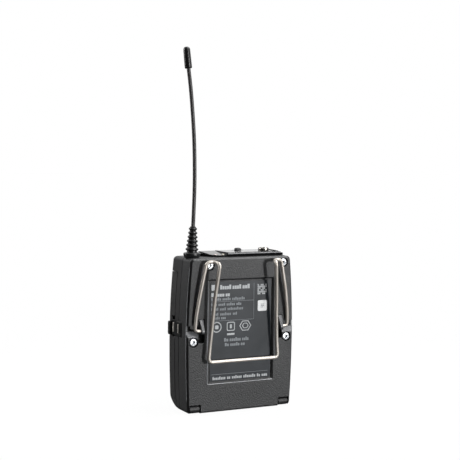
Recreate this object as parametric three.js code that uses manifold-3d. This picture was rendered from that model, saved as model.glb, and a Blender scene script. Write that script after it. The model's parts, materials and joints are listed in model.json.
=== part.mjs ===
// Belt-worn wireless transmitter pack of a clip-on microphone system.
// Millimetres. +Z is up, towards the antenna tip. -Y is the rear face, which carries the wire belt
// clip; +Y is the front, with the battery door and the display. -X is left and +X is right, as
// seen from the rear. The origin is the middle of the flat bottom.
import * as THREE from "three";
import { mergeVertices } from "three/addons/utils/BufferGeometryUtils.js";
import Module from "manifold-3d";

const wasm = await Module();
wasm.setup();

// ---------------------------------------------------------------- driving dimensions
const REAR_Y = -12; // rear face
const FRONT_Y = 12; // crest of the battery door
const SHELL_TOP = 80; // top of the two shells
const PART_Y = -2.0; // parting plane between the rear shell and the front frame
const FRAME_Y = PART_Y + 0.1; // rear edge of the front frame
const FIXED_FRONT_Y = 10.2; // front face of the fixed part round the display
const DOOR_Y = 3.4; // rear edge of the door's side walls
const DOOR_TOP = 71.8; // top edge of the door
const HALF_MID = 31.1; // widest half width, at BULGE_Z
const HALF_TOP = 29.0;
const HALF_BOTTOM = 30.0;
const BULGE_Z = 38;
const CORNER_R = 2.2; // corners of the body in the front view
const CHAMFER = 0.9; // bevel round the rear face
const WALL = 1.5; // shell wall
const REAR_WALL = 1.8;
const DOOR_WALL = 1.4;
const DOOR_GAP = 0.35; // running gap between the door and the frame behind it

// Limits for cutting shapes that only have to run clear of the body
const WIDE = 40;
const PAST_REAR = -13;
const PAST_FRONT = 14;
const PAST_BOTTOM = -1;
const PAST_TOP = 81;

const WIRE_R = 0.92; // belt clip wire
const PIVOT_Y = -12.85; // axis of the clip's two ends
const PIVOT_Z = 43.0;
const LUG_X0 = 21.8;
const LUG_X1 = 24.3;

const HINGE_Y = -9.7; // battery door hinge axis
const HINGE_Z = 2.15;
const ARM_X0 = 23.3; // hinge arms of the door
const ARM_X1 = 28.6;
const ARM_GAP = 0.3; // beside each arm
const ARM_SLOT_TOP = 4.35;

// Screw axes, [x, z]
const SCREWS = {
  upper_left: [-18.3, 76.2],
  upper_right: [24.9, 76.6],
  lower_left: [-27.2, 37.1],
  lower_right: [27.2, 37.1],
};

const ANT_X = -25.3; // antenna axis at its base
const ANT_Y = -4.6;
const JACK_X = 19.6;
const JACK_Y = 0.8;
const LED_XS = { red: -11.8, yellow: -7.4 };
const LED_Y = -4.5;

const BAY_X0 = -4.2; // battery compartment
const BAY_X1 = 25.2;
const BAY_Z0 = 5.8;
const BAY_Z1 = 58.8;

const KEY_X = -17.0;
const KEYS = {
  power: { z: 51.0, halfHeight: 4.2 },
  up: { z: 39.6, halfHeight: 3.4 },
  down: { z: 30.4, halfHeight: 3.4 },
  set: { z: 19.4, halfHeight: 4.2 },
};

// ---------------------------------------------------------------- solid helpers
const vec = (x, y, z) => new THREE.Vector3(x, y, z);
const vectors2 = (points) => points.map(([a, b]) => new THREE.Vector2(a, b));
const atY = (y, points) => points.map(([x, z]) => vec(x, y, z));
const add = (...shapes) => shapes.reduce((a, b) => a.add(b));
const cut = (body, ...tools) => tools.reduce((a, b) => a.subtract(b), body);

// Closed geometry as a manifold, turned right side out where needed
function solid(source) {
  let geometry = source.clone();
  for (const key of Object.keys(geometry.attributes)) {
    if (key !== "position") geometry.deleteAttribute(key);
  }
  geometry = mergeVertices(geometry, 1e-4);
  const triVerts = new Uint32Array(geometry.index.array);
  const vertProperties = new Float32Array(geometry.attributes.position.array);
  const make = () =>
    new wasm.Manifold(new wasm.Mesh({ numProp: 3, vertProperties, triVerts }));
  const shape = make();
  if (shape.volume() >= 0) return shape;
  for (let i = 0; i < triVerts.length; i += 3) {
    [triVerts[i + 1], triVerts[i + 2]] = [triVerts[i + 2], triVerts[i + 1]];
  }
  return make();
}

function box(x0, x1, y0, y1, z0, z1) {
  const geometry = new THREE.BoxGeometry(x1 - x0, y1 - y0, z1 - z0);
  geometry.translate((x0 + x1) / 2, (y0 + y1) / 2, (z0 + z1) / 2);
  return solid(geometry);
}

const extrude = (points, depth) =>
  new THREE.ExtrudeGeometry(new THREE.Shape(vectors2(points)), { depth, bevelEnabled: false });

// Turns an outline drawn in X, Y into one in Y, Z, extruded along X
const OUTLINE_TO_YZ = new THREE.Matrix4().set(0, 0, 1, 0, 1, 0, 0, 0, 0, 1, 0, 0, 0, 0, 0, 1);

// Outline of [y, z] points, from x0 to x1
function prismX(points, x0, x1) {
  const geometry = extrude(points, x1 - x0);
  geometry.applyMatrix4(OUTLINE_TO_YZ);
  geometry.translate(x0, 0, 0);
  return solid(geometry);
}

// Outline of [x, z] points, from y0 to y1
function prismY(points, y0, y1) {
  const geometry = extrude(points, y1 - y0);
  geometry.rotateX(Math.PI / 2);
  geometry.translate(0, y1, 0);
  return solid(geometry);
}

// Cylinder from start to end; centreA, centreB place it on the other two axes, in X, Y, Z order
function cyl(axis, radius, centreA, centreB, start, end, segments) {
  const geometry = new THREE.CylinderGeometry(radius, radius, end - start, segments);
  const middle = (start + end) / 2;
  if (axis === "x") {
    geometry.rotateZ(-Math.PI / 2);
    geometry.translate(middle, centreA, centreB);
  } else if (axis === "y") {
    geometry.translate(centreA, middle, centreB);
  } else {
    geometry.rotateX(Math.PI / 2);
    geometry.translate(centreA, centreB, middle);
  }
  return solid(geometry);
}

// Turned shapes; the profile is [radius, position along the axis]
function latheY(profile, x, z, segments) {
  const geometry = new THREE.LatheGeometry(vectors2(profile), segments);
  geometry.translate(x, 0, z);
  return solid(geometry);
}
function latheZ(profile, x, y, segments) {
  const geometry = new THREE.LatheGeometry(vectors2(profile), segments);
  geometry.rotateX(Math.PI / 2);
  geometry.translate(x, y, 0);
  return solid(geometry);
}

// [left, right] shapes that reach from |x| = inner to |x| = outer
const pair = (inner, outer, make) => [make(-outer, -inner), make(inner, outer)];
const boxPair = (inner, outer, ...yz) => pair(inner, outer, (x0, x1) => box(x0, x1, ...yz));
const prismPair = (points, inner, outer) =>
  pair(inner, outer, (x0, x1) => prismX(points, x0, x1));
const cylPair = (radius, y, z, inner, outer, segments) =>
  pair(inner, outer, (x0, x1) => cyl("x", radius, y, z, x0, x1, segments));

const atScrews = (make) => Object.values(SCREWS).map(([x, z]) => make(x, z));

// Triangles over a flat ring of points
function capTriangles(ring) {
  const origin = ring[0];
  const offsets = ring.map((p) => p.clone().sub(origin));
  const axisU = offsets[1].clone().normalize();
  const normal = vec(0, 0, 0);
  offsets.forEach((p, j) => normal.add(p.clone().cross(offsets[(j + 1) % ring.length])));
  const axisV = normal.normalize().cross(axisU);
  const flat = vectors2(offsets.map((p) => [p.dot(axisU), p.dot(axisV)]));
  return THREE.ShapeUtils.triangulateShape(flat, []);
}

// A closed skin through rings that hold the same number of points
function loft(rings) {
  const n = rings[0].length;
  const positions = rings.flat().flatMap((p) => [p.x, p.y, p.z]);
  const index = [];
  for (let i = 0; i + 1 < rings.length; i++) {
    for (let j = 0; j < n; j++) {
      const a = i * n + j;
      const b = i * n + ((j + 1) % n);
      index.push(a, b, b + n, a, b + n, a + n);
    }
  }
  const last = rings.length - 1;
  for (const [a, b, c] of capTriangles(rings[0])) index.push(a, c, b);
  for (const triangle of capTriangles(rings[last])) {
    index.push(...triangle.map((i) => last * n + i));
  }
  const geometry = new THREE.BufferGeometry();
  geometry.setAttribute("position", new THREE.Float32BufferAttribute(positions, 3));
  geometry.setIndex(index);
  return solid(geometry);
}

// Round bar through a list of points, its section carried along without twist.
// The radius is one number, or a list with one for each point.
function bar(points, radius, segments) {
  let side = null;
  const rings = points.map((p, i) => {
    const before = points[Math.max(0, i - 1)];
    const after = points[Math.min(points.length - 1, i + 1)];
    const tangent = after.clone().sub(before).normalize();
    side ??= vec(0.31, 0.17, 0.93).cross(tangent).normalize(); // any start direction will do
    side = side.clone().sub(tangent.clone().multiplyScalar(side.dot(tangent))).normalize();
    const across = tangent.clone().cross(side);
    const r = Array.isArray(radius) ? radius[i] : radius;
    return Array.from({ length: segments }, (_, k) => {
      const angle = (2 * Math.PI * k) / segments;
      return p
        .clone()
        .add(side.clone().multiplyScalar(r * Math.cos(angle)))
        .add(across.clone().multiplyScalar(r * Math.sin(angle)));
    });
  });
  return loft(rings);
}

// Corners of a polyline rounded with short curves; the radii at the two ends are not used
function rounded(points, radii, steps) {
  const out = [points[0]];
  for (let i = 1; i + 1 < points.length; i++) {
    const corner = points[i];
    const back = points[i - 1].clone().sub(corner);
    const ahead = points[i + 1].clone().sub(corner);
    const r = Math.min(radii[i], back.length() * 0.49, ahead.length() * 0.49);
    const start = corner.clone().add(back.normalize().multiplyScalar(r));
    const end = corner.clone().add(ahead.normalize().multiplyScalar(r));
    out.push(...new THREE.QuadraticBezierCurve3(start, corner, end).getPoints(steps));
  }
  out.push(points[points.length - 1]);
  return out;
}

// Rectangle a0..a1 by b0..b1 with rounded corners, each in the given number of steps
function roundRect(a0, a1, b0, b1, r, steps = 3) {
  const centres = [[a1 - r, b1 - r], [a0 + r, b1 - r], [a0 + r, b0 + r], [a1 - r, b0 + r]];
  return centres.flatMap(([a, b], quarter) =>
    Array.from({ length: steps + 1 }, (_, i) => {
      const angle = (Math.PI / 2) * (quarter + i / steps);
      return [a + r * Math.cos(angle), b + r * Math.sin(angle)];
    }),
  );
}

// ---------------------------------------------------------------- the body's outer form
const halfWidth = (z) =>
  z > BULGE_Z
    ? HALF_MID - (HALF_MID - HALF_TOP) * ((z - BULGE_Z) / (SHELL_TOP - BULGE_Z)) ** 2
    : HALF_MID - (HALF_MID - HALF_BOTTOM) * ((BULGE_Z - z) / BULGE_Z) ** 2;

// Front view outline, inset evenly; every inset gives the same number of points
function outline(inset) {
  const sideSteps = 6;
  const cornerSteps = [1, 2, 3];
  const r = Math.max(0.4, CORNER_R - inset * 0.6);
  const low = inset + r;
  const high = SHELL_TOP - inset - r;
  const side = Array.from({ length: sideSteps + 1 }, (_, i) => {
    const z = low + ((high - low) * i) / sideSteps;
    return [halfWidth(z) - inset, z];
  });
  const corner = ([x, z], direction) =>
    cornerSteps.map((i) => {
      const angle = (Math.PI / 2) * (i / cornerSteps.length);
      return [x - r + r * Math.cos(angle), z + direction * r * Math.sin(angle)];
    });
  const right = [...corner(side[0], -1).reverse(), ...side, ...corner(side[sideSteps], 1)];
  const left = right.map(([x, z]) => [-x, z]).reverse();
  return [...right, ...left];
}

// Lofts the outline through stations of [y, inset]
const loftOutline = (stations) => loft(stations.map(([y, inset]) => atY(y, outline(inset))));

// Side view curves, [y, z], from the rear bottom edge round the front to the top
const LOWER_CURVE = [[PAST_REAR, 0], [-1, 0.15], [1.5, 0.75], [5, 2.3], [8.1, 4.45]];
const DOOR_PROFILE = [
  ...LOWER_CURVE,
  [10.3, 7.4], [11.5, 11.6], [FRONT_Y, 18.5], [FRONT_Y, 50], [11.7, 62], [11.1, 73.1],
  [10.9, PAST_TOP], [PAST_REAR, PAST_TOP],
];
const FIXED_PROFILE = [
  ...LOWER_CURVE,
  [FIXED_FRONT_Y, 9], [FIXED_FRONT_Y, 77.2], [FIXED_FRONT_Y - 0.7, 79.2],
  [FIXED_FRONT_Y - 2.2, SHELL_TOP], [PAST_REAR, SHELL_TOP],
];

// Even inset of an open curve, by the normals at its points
function insetCurve(points, inset) {
  return points.map(([y, z], i) => {
    const before = points[Math.max(0, i - 1)];
    const after = points[Math.min(points.length - 1, i + 1)];
    const dy = after[0] - before[0];
    const dz = after[1] - before[1];
    const length = Math.hypot(dy, dz);
    return [y - (dz / length) * inset, z + (dy / length) * inset];
  });
}

const envelope = loftOutline([
  [REAR_Y, CHAMFER],
  [REAR_Y + CHAMFER, 0],
  [9.3, 0],
  [11.0, 0.7],
  [FRONT_Y + 0.05, 2.2],
]);
const doorForm = envelope.intersect(prismX(DOOR_PROFILE, -WIDE, WIDE));
const fixedForm = envelope.intersect(prismX(FIXED_PROFILE, -WIDE, WIDE));

// The door form shrunk by an inset, left long at the rear
function doorFormInside(inset) {
  const inner = loftOutline([
    [-20, inset],
    [9.3 - inset * 0.4, inset],
    [11.0 - inset, 0.7 + inset],
    [FRONT_Y + 0.1 - inset, 2.4 + inset],
  ]);
  return inner.intersect(prismX(insetCurve(DOOR_PROFILE, inset), -WIDE, WIDE));
}

// ---------------------------------------------------------------- openings the shells share
const topOpening = box(-15.6, 16.0, -5.6, 6.0, 77.0, 81.5);
const jackOpening = box(15.5, 23.6, -2.6, 4.2, 76.0, 81.5);
const contactOpening = box(-33, -27.6, -5.9, 7.2, 38.8, 47.2); // left side, charging contacts
const antennaBore = cyl("z", 2.35, ANT_X, ANT_Y, 70, 82, 14);
const armSlots = (y0, y1) =>
  boxPair(ARM_X0 - ARM_GAP, ARM_X1 + ARM_GAP, y0, y1, PAST_BOTTOM, ARM_SLOT_TOP);

// ---------------------------------------------------------------- rear shell
const LABEL_HALF = 18.6; // label recess floor
const LABEL_Z0 = 15.4;
const LABEL_Z1 = 68.3;
const LABEL_DEPTH = 0.8;
const LABEL_SLOPE = 1.2; // spread of the recess edges

const CLIP_CHANNEL = [
  [PAST_REAR, 45.7], [-10.4, 45.7], [-10.4, 42.8], [REAR_Y, 39.5], [PAST_REAR, 37.44],
];
const CHANNEL_X = LUG_X1 - 0.2;
const POCKET_FLOOR_Y = -9.0; // floor of the lug pockets

function makeRearShell() {
  const padY = REAR_Y + 1.2; // pads start inside the rear wall
  const inside = fixedForm.intersect(
    box(-WIDE, WIDE, REAR_Y + REAR_WALL - 0.5, PART_Y, 0.2, 79.8),
  );
  const pads = add(
    ...boxPair(19.4, 31, padY, -7.2, 34.6, 51.0), // behind the clip lugs
    ...atScrews((x, z) => cyl("y", 3.1, x, z, padY, -7.6, 14)),
    ...boxPair(21.6, 31, padY, PART_Y, 0.3, 5.8), // hinge blocks
  );
  const labelRecess = loft([
    atY(
      REAR_Y - 0.4,
      roundRect(
        -LABEL_HALF - LABEL_SLOPE, LABEL_HALF + LABEL_SLOPE,
        LABEL_Z0 - LABEL_SLOPE, LABEL_Z1 + LABEL_SLOPE, 0.9,
      ),
    ),
    atY(REAR_Y + LABEL_DEPTH, roundRect(-LABEL_HALF, LABEL_HALF, LABEL_Z0, LABEL_Z1, 0.6)),
  ]);
  const hollow = cut(
    fixedForm.intersect(box(-WIDE, WIDE, PAST_REAR, PART_Y, PAST_BOTTOM, PAST_TOP)),
    prismY(outline(WALL), REAR_Y + REAR_WALL, PART_Y + 1),
  );
  const shell = cut(
    add(
      hollow,
      pads.intersect(inside),
      box(-22.4, 22.4, -6, 1.5, 0, 1.5), // flat bottom tongue
    ),
    labelRecess,
    ...prismPair(CLIP_CHANNEL, CHANNEL_X, 33), // for the clip's legs, open to the side
    ...boxPair(CHANNEL_X, 30.0, -12.5, POCKET_FLOOR_Y, 42.6, 45.7), // deeper, short of the side
    ...boxPair(21.1, 24.6, PAST_REAR, POCKET_FLOOR_Y, 36.5, 48.9), // lug pockets
    ...armSlots(PAST_REAR, FRAME_Y), // hinge windows
    ...cylPair(0.85, HINGE_Y, HINGE_Z, 22.0, 29.6, 12), // hinge pin bores
    ...atScrews((x, z) => cyl("y", 2.4, x, z, PAST_REAR, -9.9, 18)), // screw head seats
    ...atScrews((x, z) => cyl("y", 1.1, x, z, -11, -7, 12)),
  );
  const antennaSeat = cyl("z", 3.3, ANT_X, ANT_Y, 73.5, 79, 14).intersect(inside);
  return cut(
    add(shell, cut(antennaSeat, antennaBore)),
    topOpening,
    jackOpening,
    contactOpening,
    antennaBore,
  );
}

// ---------------------------------------------------------------- front frame
// Hollows, [x0, x1, y0, y1, z0, z1]
const FRAME_HOLLOWS = {
  battery: [BAY_X0, BAY_X1, -5.7, PAST_FRONT, BAY_Z0, BAY_Z1],
  behindKeyPanel: [-28.2, -5.9, -3, 5.0, 6.6, 57.5],
  beforeKeyPanel: [-28.0, -5.9, 6.4, PAST_FRONT, 7.2, 57.5],
  behindDisplay: [-20.0, 20.0, -3, 8.0, 60.6, 77.4],
  displayOpening: [-15.5, 15.5, 7, 10, 64.0, 74.0],
  lensSeat: [-17.2, 17.2, 9.3, 12, 62.3, 75.7],
  antennaSide: [-28.2, -19.0, -3, 8.0, 60.6, 77.8],
  rightSide: [19.0, 28.2, -3, 8.0, 60.6, 73.2],
  roundJack: [15.9, 23.3, -3, 4.5, 60.6, 77.5],
  bottomTongue: [-23.0, 23.0, -2, 2.0, PAST_BOTTOM, 2.0],
};

function makeFrontFrame() {
  const withinShell = prismY(outline(WALL + 0.15), REAR_Y, PART_Y + 1);
  const rim = cut(
    doorForm
      .intersect(box(-WIDE, WIDE, FRAME_Y, DOOR_Y - 0.2, PAST_BOTTOM, 79))
      .intersect(fixedForm),
    box(-WIDE, WIDE, 1.6, DOOR_Y + 1, PAST_BOTTOM, 5.5), // steps up over the door's bottom lip
  );
  const blank = add(
    rim,
    doorFormInside(DOOR_WALL + DOOR_GAP).intersect(box(-WIDE, WIDE, 1.2, 9.7, 0, 72.3)),
    fixedForm.intersect(box(-WIDE, WIDE, FRAME_Y, 11, 72.2, PAST_TOP)), // above the door
    fixedForm.intersect(box(-21.5, 21.5, FRAME_Y, 11, 59.2, 74)), // display block
    // battery tray, reaching into the rear shell
    box(BAY_X0 - 1.3, 28.9, -6.9, 0, 6.2, 60.0).intersect(withinShell),
  );
  const hollowed = cut(
    blank,
    ...Object.values(FRAME_HOLLOWS).map((limits) => box(...limits)),
    topOpening,
    jackOpening,
    antennaBore,
    ...armSlots(-3, DOOR_Y + 1.3),
    ...boxPair(26.0, 33, 6.2, PAST_FRONT, 34.4, 47.6), // catch pockets, open to the front
  );
  const keyOpenings = Object.values(KEYS).map(({ z, halfHeight }) => {
    const half = halfHeight + 0.05;
    return prismY(roundRect(KEY_X - 4.85, KEY_X + 4.85, z - half, z + half, 1.8, 2), 4.5, 7);
  });
  return cut(
    add(
      hollowed,
      ...atScrews((x, z) => cyl("y", 2.0, x, z, -7.1, -0.2, 12).intersect(withinShell)), // posts
    ),
    ...atScrews((x, z) => cyl("y", 1.02, x, z, -8, -0.6, 10)),
    ...keyOpenings,
    contactOpening, // comes after the posts, since it trims one of them
  );
}

// ---------------------------------------------------------------- battery door
// Side view limits of the door and of its hinge arms, [y, z]
const DOOR_REGION = [
  [1.9, PAST_BOTTOM], [PAST_FRONT, PAST_BOTTOM], [PAST_FRONT, DOOR_TOP],
  [DOOR_Y, DOOR_TOP], [DOOR_Y, 5.2], [1.9, 5.2],
];
const ARM_PROFILE = [
  [HINGE_Y, 0.35], [-1, 0.35], [1.5, 0.95], [5.6, 2.8], [6.6, 4.0], [HINGE_Y, 3.95],
];

function makeDoor() {
  const skin = cut(doorForm, doorFormInside(DOOR_WALL));
  const panel = cut(
    skin.intersect(prismX(DOOR_REGION, -WIDE, WIDE)),
    box(-21.9, 21.9, 3, PAST_FRONT, BAY_Z1, 80), // notch round the display
    box(-WIDE, -28.8, 3, 7.2, 38.0, 49.0), // side relief round the charging contacts
    ...boxPair(30.45, WIDE, 3, PAST_FRONT, 37.4, 48.6), // finger relief round the catches
  );
  return cut(
    add(
      panel,
      ...prismPair(ARM_PROFILE, ARM_X0, ARM_X1),
      ...cylPair(2.05, HINGE_Y, HINGE_Z, ARM_X0, ARM_X1, 16),
    ),
    ...cylPair(0.86, HINGE_Y, HINGE_Z, 20, 31, 12),
    ...boxPair(27, WIDE, 7.5, 10.7, 38.4, 46.0), // catch button holes
  );
}

const hingePins = cylPair(0.8, HINGE_Y, HINGE_Z, 22.2, 29.4, 12);

const catchFlanges = boxPair(27.7, 28.7, 7.0, 9.2, 37.2, 46.6);
const catches = prismPair(roundRect(7.7, 10.5, 38.6, 45.8, 0.9, 2), 28.6, 32.0).map(
  (button, i) => add(button, catchFlanges[i]),
);

// ---------------------------------------------------------------- top panel
// Plan outline, [x, y]
const PANEL_OUTLINE = [
  [-18.4, 3.2], [-15.5, -3.0], [-12.2, -6.4], [-8.6, -7.4], [25.6, -7.4], [27.0, -6.8],
  [27.6, -5.6], [27.6, 5.6], [27.0, 6.8], [25.6, 7.4], [-14.8, 7.4], [-17.6, 6.2],
];
// Edge stations, [z, inset]
const PANEL_EDGE = [[80.05, 0.3], [81.3, 0.3], [81.4, 0], [81.95, 0], [82.3, 0.4]];
// Front view limit, [x, z]; the top falls away to the right of the jack
const PANEL_LIMIT = [
  [-30, 79], [30, 79], [30, 80.1], [27.6, 80.8], [26.4, 81.4], [25.3, 81.8], [24.0, 82.1],
  [22.9, 82.4], [-30, 82.4],
];
// Grip ribs beside the jack, [left x, bottom z, top z]
const GRIP_RIBS = [[23.4, 81.0, 82.55], [24.8, 81.0, 82.2], [26.2, 80.6, 81.75]];
const RIB_WIDTH = 0.5;

function makeTopPanel() {
  const plate = loft(
    PANEL_EDGE.map(([z, inset]) =>
      PANEL_OUTLINE.map(([x, y]) => vec(x - Math.sign(x) * inset, y - Math.sign(y) * inset, z)),
    ),
  ).intersect(prismY(PANEL_LIMIT, -12, 12));
  const ledSlope = prismX([[-9, 80.6], [8, 82.25], [8, 84], [-9, 84]], -30, -6.2);
  // slanting rib beside the antenna, from [front z, rear z] at its foot to those at its crest
  const guardRib = loft(
    [[80.3, 80.3], [82.45, 81.05]].map(([frontZ, rearZ]) => [
      vec(-17.5, 2.9, frontZ),
      vec(-16.7, 3.4, frontZ),
      vec(-12.9, -2.9, rearZ),
      vec(-13.7, -3.4, rearZ),
    ]),
  );
  return cut(
    add(
      cut(plate, ledSlope),
      guardRib,
      ...GRIP_RIBS.map(([x, z0, z1]) => box(x, x + RIB_WIDTH, -6.2, 6.2, z0, z1)),
      box(-15.4, -13.8, -5.3, 5.7, 78.2, 80.2), // tabs that reach down into the top opening
      box(13.6, 15.2, -5.3, 5.7, 78.2, 80.2),
    ),
    cyl("z", 3.05, JACK_X, JACK_Y, 78, 84, 16),
    box(1.9, 8.4, 2.9, 5.3, 78, 84), // slot of the mute slider
    ...Object.values(LED_XS).map((x) => cyl("z", 1.1, x, LED_Y, 78, 84, 10)),
  );
}

// ---------------------------------------------------------------- parts on the rear and sides
const SCREW_PROFILE = [
  [0, -11.8], [1.75, -11.8], [2.1, -11.55], [2.1, -10.0], [0.95, -10.0], [0.95, -1.5],
  [0.4, -1.0], [0, -1.0],
];
const makeScrew = (x, z) =>
  cut(latheY(SCREW_PROFILE, x, z, 14), cyl("y", 0.95, x, z, -12.2, -10.9, 6));

const labelPlate = loft(
  // [y, inset]
  [[REAR_Y + 0.5, 0.12], [REAR_Y + LABEL_DEPTH - 0.05, 0]].map(([y, inset]) =>
    atY(
      y,
      roundRect(
        -LABEL_HALF + 0.9 + inset, LABEL_HALF - 0.7 - inset,
        LABEL_Z0 + 0.7 + inset, LABEL_Z1 - 0.8 - inset, 0.8,
      ),
    ),
  ),
);

// Side view of a clip lug, [y, z]
const LUG_PROFILE = [
  [-9.1, 48.7], [-12.0, 48.7], [-12.3, 48.4], [-14.75, 43.0], [-14.75, 42.0], [-14.3, 41.5],
  [-9.1, 41.5],
];
const lugBores = cylPair(WIRE_R + 0.15, PIVOT_Y, PIVOT_Z, LUG_X0 + 0.7, 30, 12);
const lugs = prismPair(LUG_PROFILE, LUG_X0, LUG_X1).map((lug) => cut(lug, ...lugBores));

// Belt clip: one bent spring wire. Right half from its end to the bottom bend,
// [x, y, z, bend radius]
const CLIP_HALF = [
  [22.8, PIVOT_Y, PIVOT_Z, 0],
  [27.0, PIVOT_Y, PIVOT_Z, 2.0],
  [26.7, -13.4, 50.0, 4],
  [24.9, -14.4, 62.5, 6],
  [21.7, -14.9, 78.4, 2.1],
  [17.3, -15.5, 78.4, 1.7],
  [16.3, -19.5, 77.5, 2.3],
  [18.0, -17.2, 60.0, 8],
  [18.8, -15.9, 44.5, 6],
  [19.6, -15.2, 34.5, 4],
  [20.2, -15.4, 26.9, 2.4],
];
function makeBeltClip() {
  const bends = [...CLIP_HALF, ...CLIP_HALF.map(([x, ...rest]) => [-x, ...rest]).reverse()];
  const points = bends.map(([x, y, z]) => vec(x, y, z));
  const radii = bends.map((bend) => bend[3]);
  return bar(rounded(points, radii, 4), WIRE_R, 8);
}

// Charging contacts in the left side
const CONTACT_YS = { rear: -1.1, front: 5.1 };
const contactBlock = cut(
  add(
    prismX(roundRect(-5.7, 7.0, 39.0, 47.0, 1.2, 2), -30.9, -27.9),
    prismX(roundRect(-4.9, 1.2, 39.3, 46.7, 1.0, 2), -31.35, -30.8),
  ),
  ...Object.values(CONTACT_YS).map((y) => box(-32, -30.2, y - 0.7, y + 0.7, 40.3, 45.7)),
);
const makeContact = (y) => box(-31.25, -30.25, y - 0.55, y + 0.55, 40.5, 45.5);

// ---------------------------------------------------------------- antenna
// Axis of the rod, [z, offset in x from ANT_X]
const ANT_AXIS = [
  [78, 0], [80.5, 0], [84.2, 0.05], [90, 0.3], [96.3, 0.55], [103.6, 0.8], [115.3, 1.12],
  [127.6, 1.05], [140.6, 0.62], [154.7, -0.42], [166.8, -1.62], [177.4, -3.05], [182.4, -3.65],
].map(([z, offset]) => vec(ANT_X + offset, ANT_Y, z));
const rodPoints = rounded(ANT_AXIS, ANT_AXIS.map(() => 1.2), 1);
const antennaRod = bar(rodPoints, 1.0, 10);

// Point on the axis at a height; the last stretch runs on past its end
function alongAxis(z) {
  let i = 0;
  while (i + 2 < ANT_AXIS.length && ANT_AXIS[i + 1].z < z) i++;
  const [low, high] = [ANT_AXIS[i], ANT_AXIS[i + 1]];
  return low.clone().lerp(high, (z - low.z) / (high.z - low.z));
}
// Round bar on the axis through stations of [z, radius]
const axisBar = (stations, segments) =>
  bar(stations.map(([z]) => alongAxis(z)), stations.map(([, r]) => r), segments);
function rodBore(z0, z1, radius) {
  const between = rodPoints.filter((p) => p.z > z0 + 0.2 && p.z < z1 - 0.2);
  return bar([alongAxis(z0), ...between, alongAxis(z1)], radius, 10);
}

const TIP_CAP = [[176.4, 1.7], [177.2, 1.9], [182.6, 1.85], [186.2, 1.75], [187.0, 1.2], [187.3, 0.5]];
const tipCap = cut(axisBar(TIP_CAP, 12), rodBore(175.2, 183, 1.1));

// Ribbed boot, tapering upwards
function makeBoot() {
  const ribs = 6;
  const stations = [[82.9, 2.7]];
  for (let i = 0; i < ribs; i++) {
    const z = 83.6 + i * 2.1;
    const groove = 2.62 - i * 0.21;
    const crest = 3.3 - i * 0.24;
    stations.push([z, groove], [z + 0.5, crest], [z + 1.05, crest], [z + 1.5, groove - 0.1]);
  }
  stations.push([96.0, 1.5]);
  return cut(axisBar(stations, 14), rodBore(81.8, 97.2, 1.14));
}

const COLLAR_PROFILE = [
  [1.25, 80.06], [3.9, 80.06], [4.1, 80.9], [4.35, 81.4], [4.35, 82.3], [3.9, 82.75],
  [1.25, 82.75], [1.25, 80.06],
];
const INSERT_PROFILE = [
  [0, 72.2], [1.6, 72.2], [1.6, 74.6], [2.25, 74.6], [2.25, 79.9], [1.15, 79.9],
  [1.15, 77.8], [0, 77.8],
];

// ---------------------------------------------------------------- electronics
const mainBoard = cut(
  box(-27.2, 27.2, -9.4, -8.4, 6.6, 72.4),
  ...boxPair(19.0, 30, -10, -8, 33.8, 51.8), // clears the pads behind the clip lugs
);
const shieldCan = cut(
  box(-26.4, -8.2, -8.3, -3.4, 54.4, 71.6),
  box(-26.0, -8.6, -8.4, -3.8, 54.8, 71.2),
);
const controlBoard = box(-24.9, -7.4, -0.6, 0.4, 11.2, 56.6);
const displayModule = add(
  box(-17.8, 17.8, 4.2, 7.6, 61.6, 75.4),
  box(-14.9, 14.9, 7.5, 7.9, 64.4, 73.6),
);
const displayLens = prismY(roundRect(-16.9, 16.9, 62.6, 75.4, 1.0, 2), 9.4, 10.1);

// Threaded sleeve of the jack, with an insulating body below
const JACK_BORE_R = 1.85;
const JACK_PROFILE = [
  [JACK_BORE_R, 76.6], [2.9, 76.6], [2.9, 80.6], [2.65, 80.8], [2.9, 81.0], [2.9, 81.5],
  [2.65, 81.7], [2.9, 81.9], [2.9, 82.3], [2.65, 82.5], [2.9, 82.7], [2.9, 83.2], [2.6, 83.6],
  [2.1, 83.6], [JACK_BORE_R, 83.35], [JACK_BORE_R, 76.6],
];
const jackInsulator = cut(
  box(JACK_X - 3.0, JACK_X + 3.0, JACK_Y - 3.1, JACK_Y + 3.1, 64.5, 76.5),
  cyl("z", JACK_BORE_R, JACK_X, JACK_Y, 65.6, 77, 12),
);

const muteSlider = add(
  prismX(
    [[2.7, 82.42], [5.7, 82.42], [5.55, 83.15], [5.2, 83.5], [3.2, 83.5], [2.85, 83.15]],
    4.4,
    7.2,
  ),
  box(5.3, 6.7, 3.35, 4.85, 78.9, 82.6), // stem into the switch
);
const muteBody = cut(
  box(0.4, 11.4, 1.5, 5.9, 75.9, 79.9),
  box(2.2, 8.2, 3.05, 5.15, 78.4, 81),
);
const LED_PROFILE = [[0, 78.4], [0.95, 78.4], [0.95, 81.0], [0.72, 81.3], [0.3, 81.45], [0, 81.45]];

function makeKey({ z, halfHeight }) {
  const capHalf = halfHeight - 0.2;
  const flangeHalf = halfHeight + 0.5;
  return add(
    prismY(roundRect(KEY_X - 4.6, KEY_X + 4.6, z - capHalf, z + capHalf, 1.6, 2), 4.4, 7.4),
    box(KEY_X - 5.6, KEY_X + 5.6, 3.7, 4.7, z - flangeHalf, z + flangeHalf),
  );
}
const makeTactSwitch = (z) =>
  add(
    box(KEY_X - 2.2, KEY_X + 2.2, 0.45, 2.2, z - 2.2, z + 2.2),
    cyl("y", 1.2, KEY_X, z, 2.1, 3.1, 10),
  );

// ---------------------------------------------------------------- batteries, one each way up
const CELL_LEFT_X = 3.15;
const CELL_RIGHT_X = 17.8;
const CELL_Y = 1.5;
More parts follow.
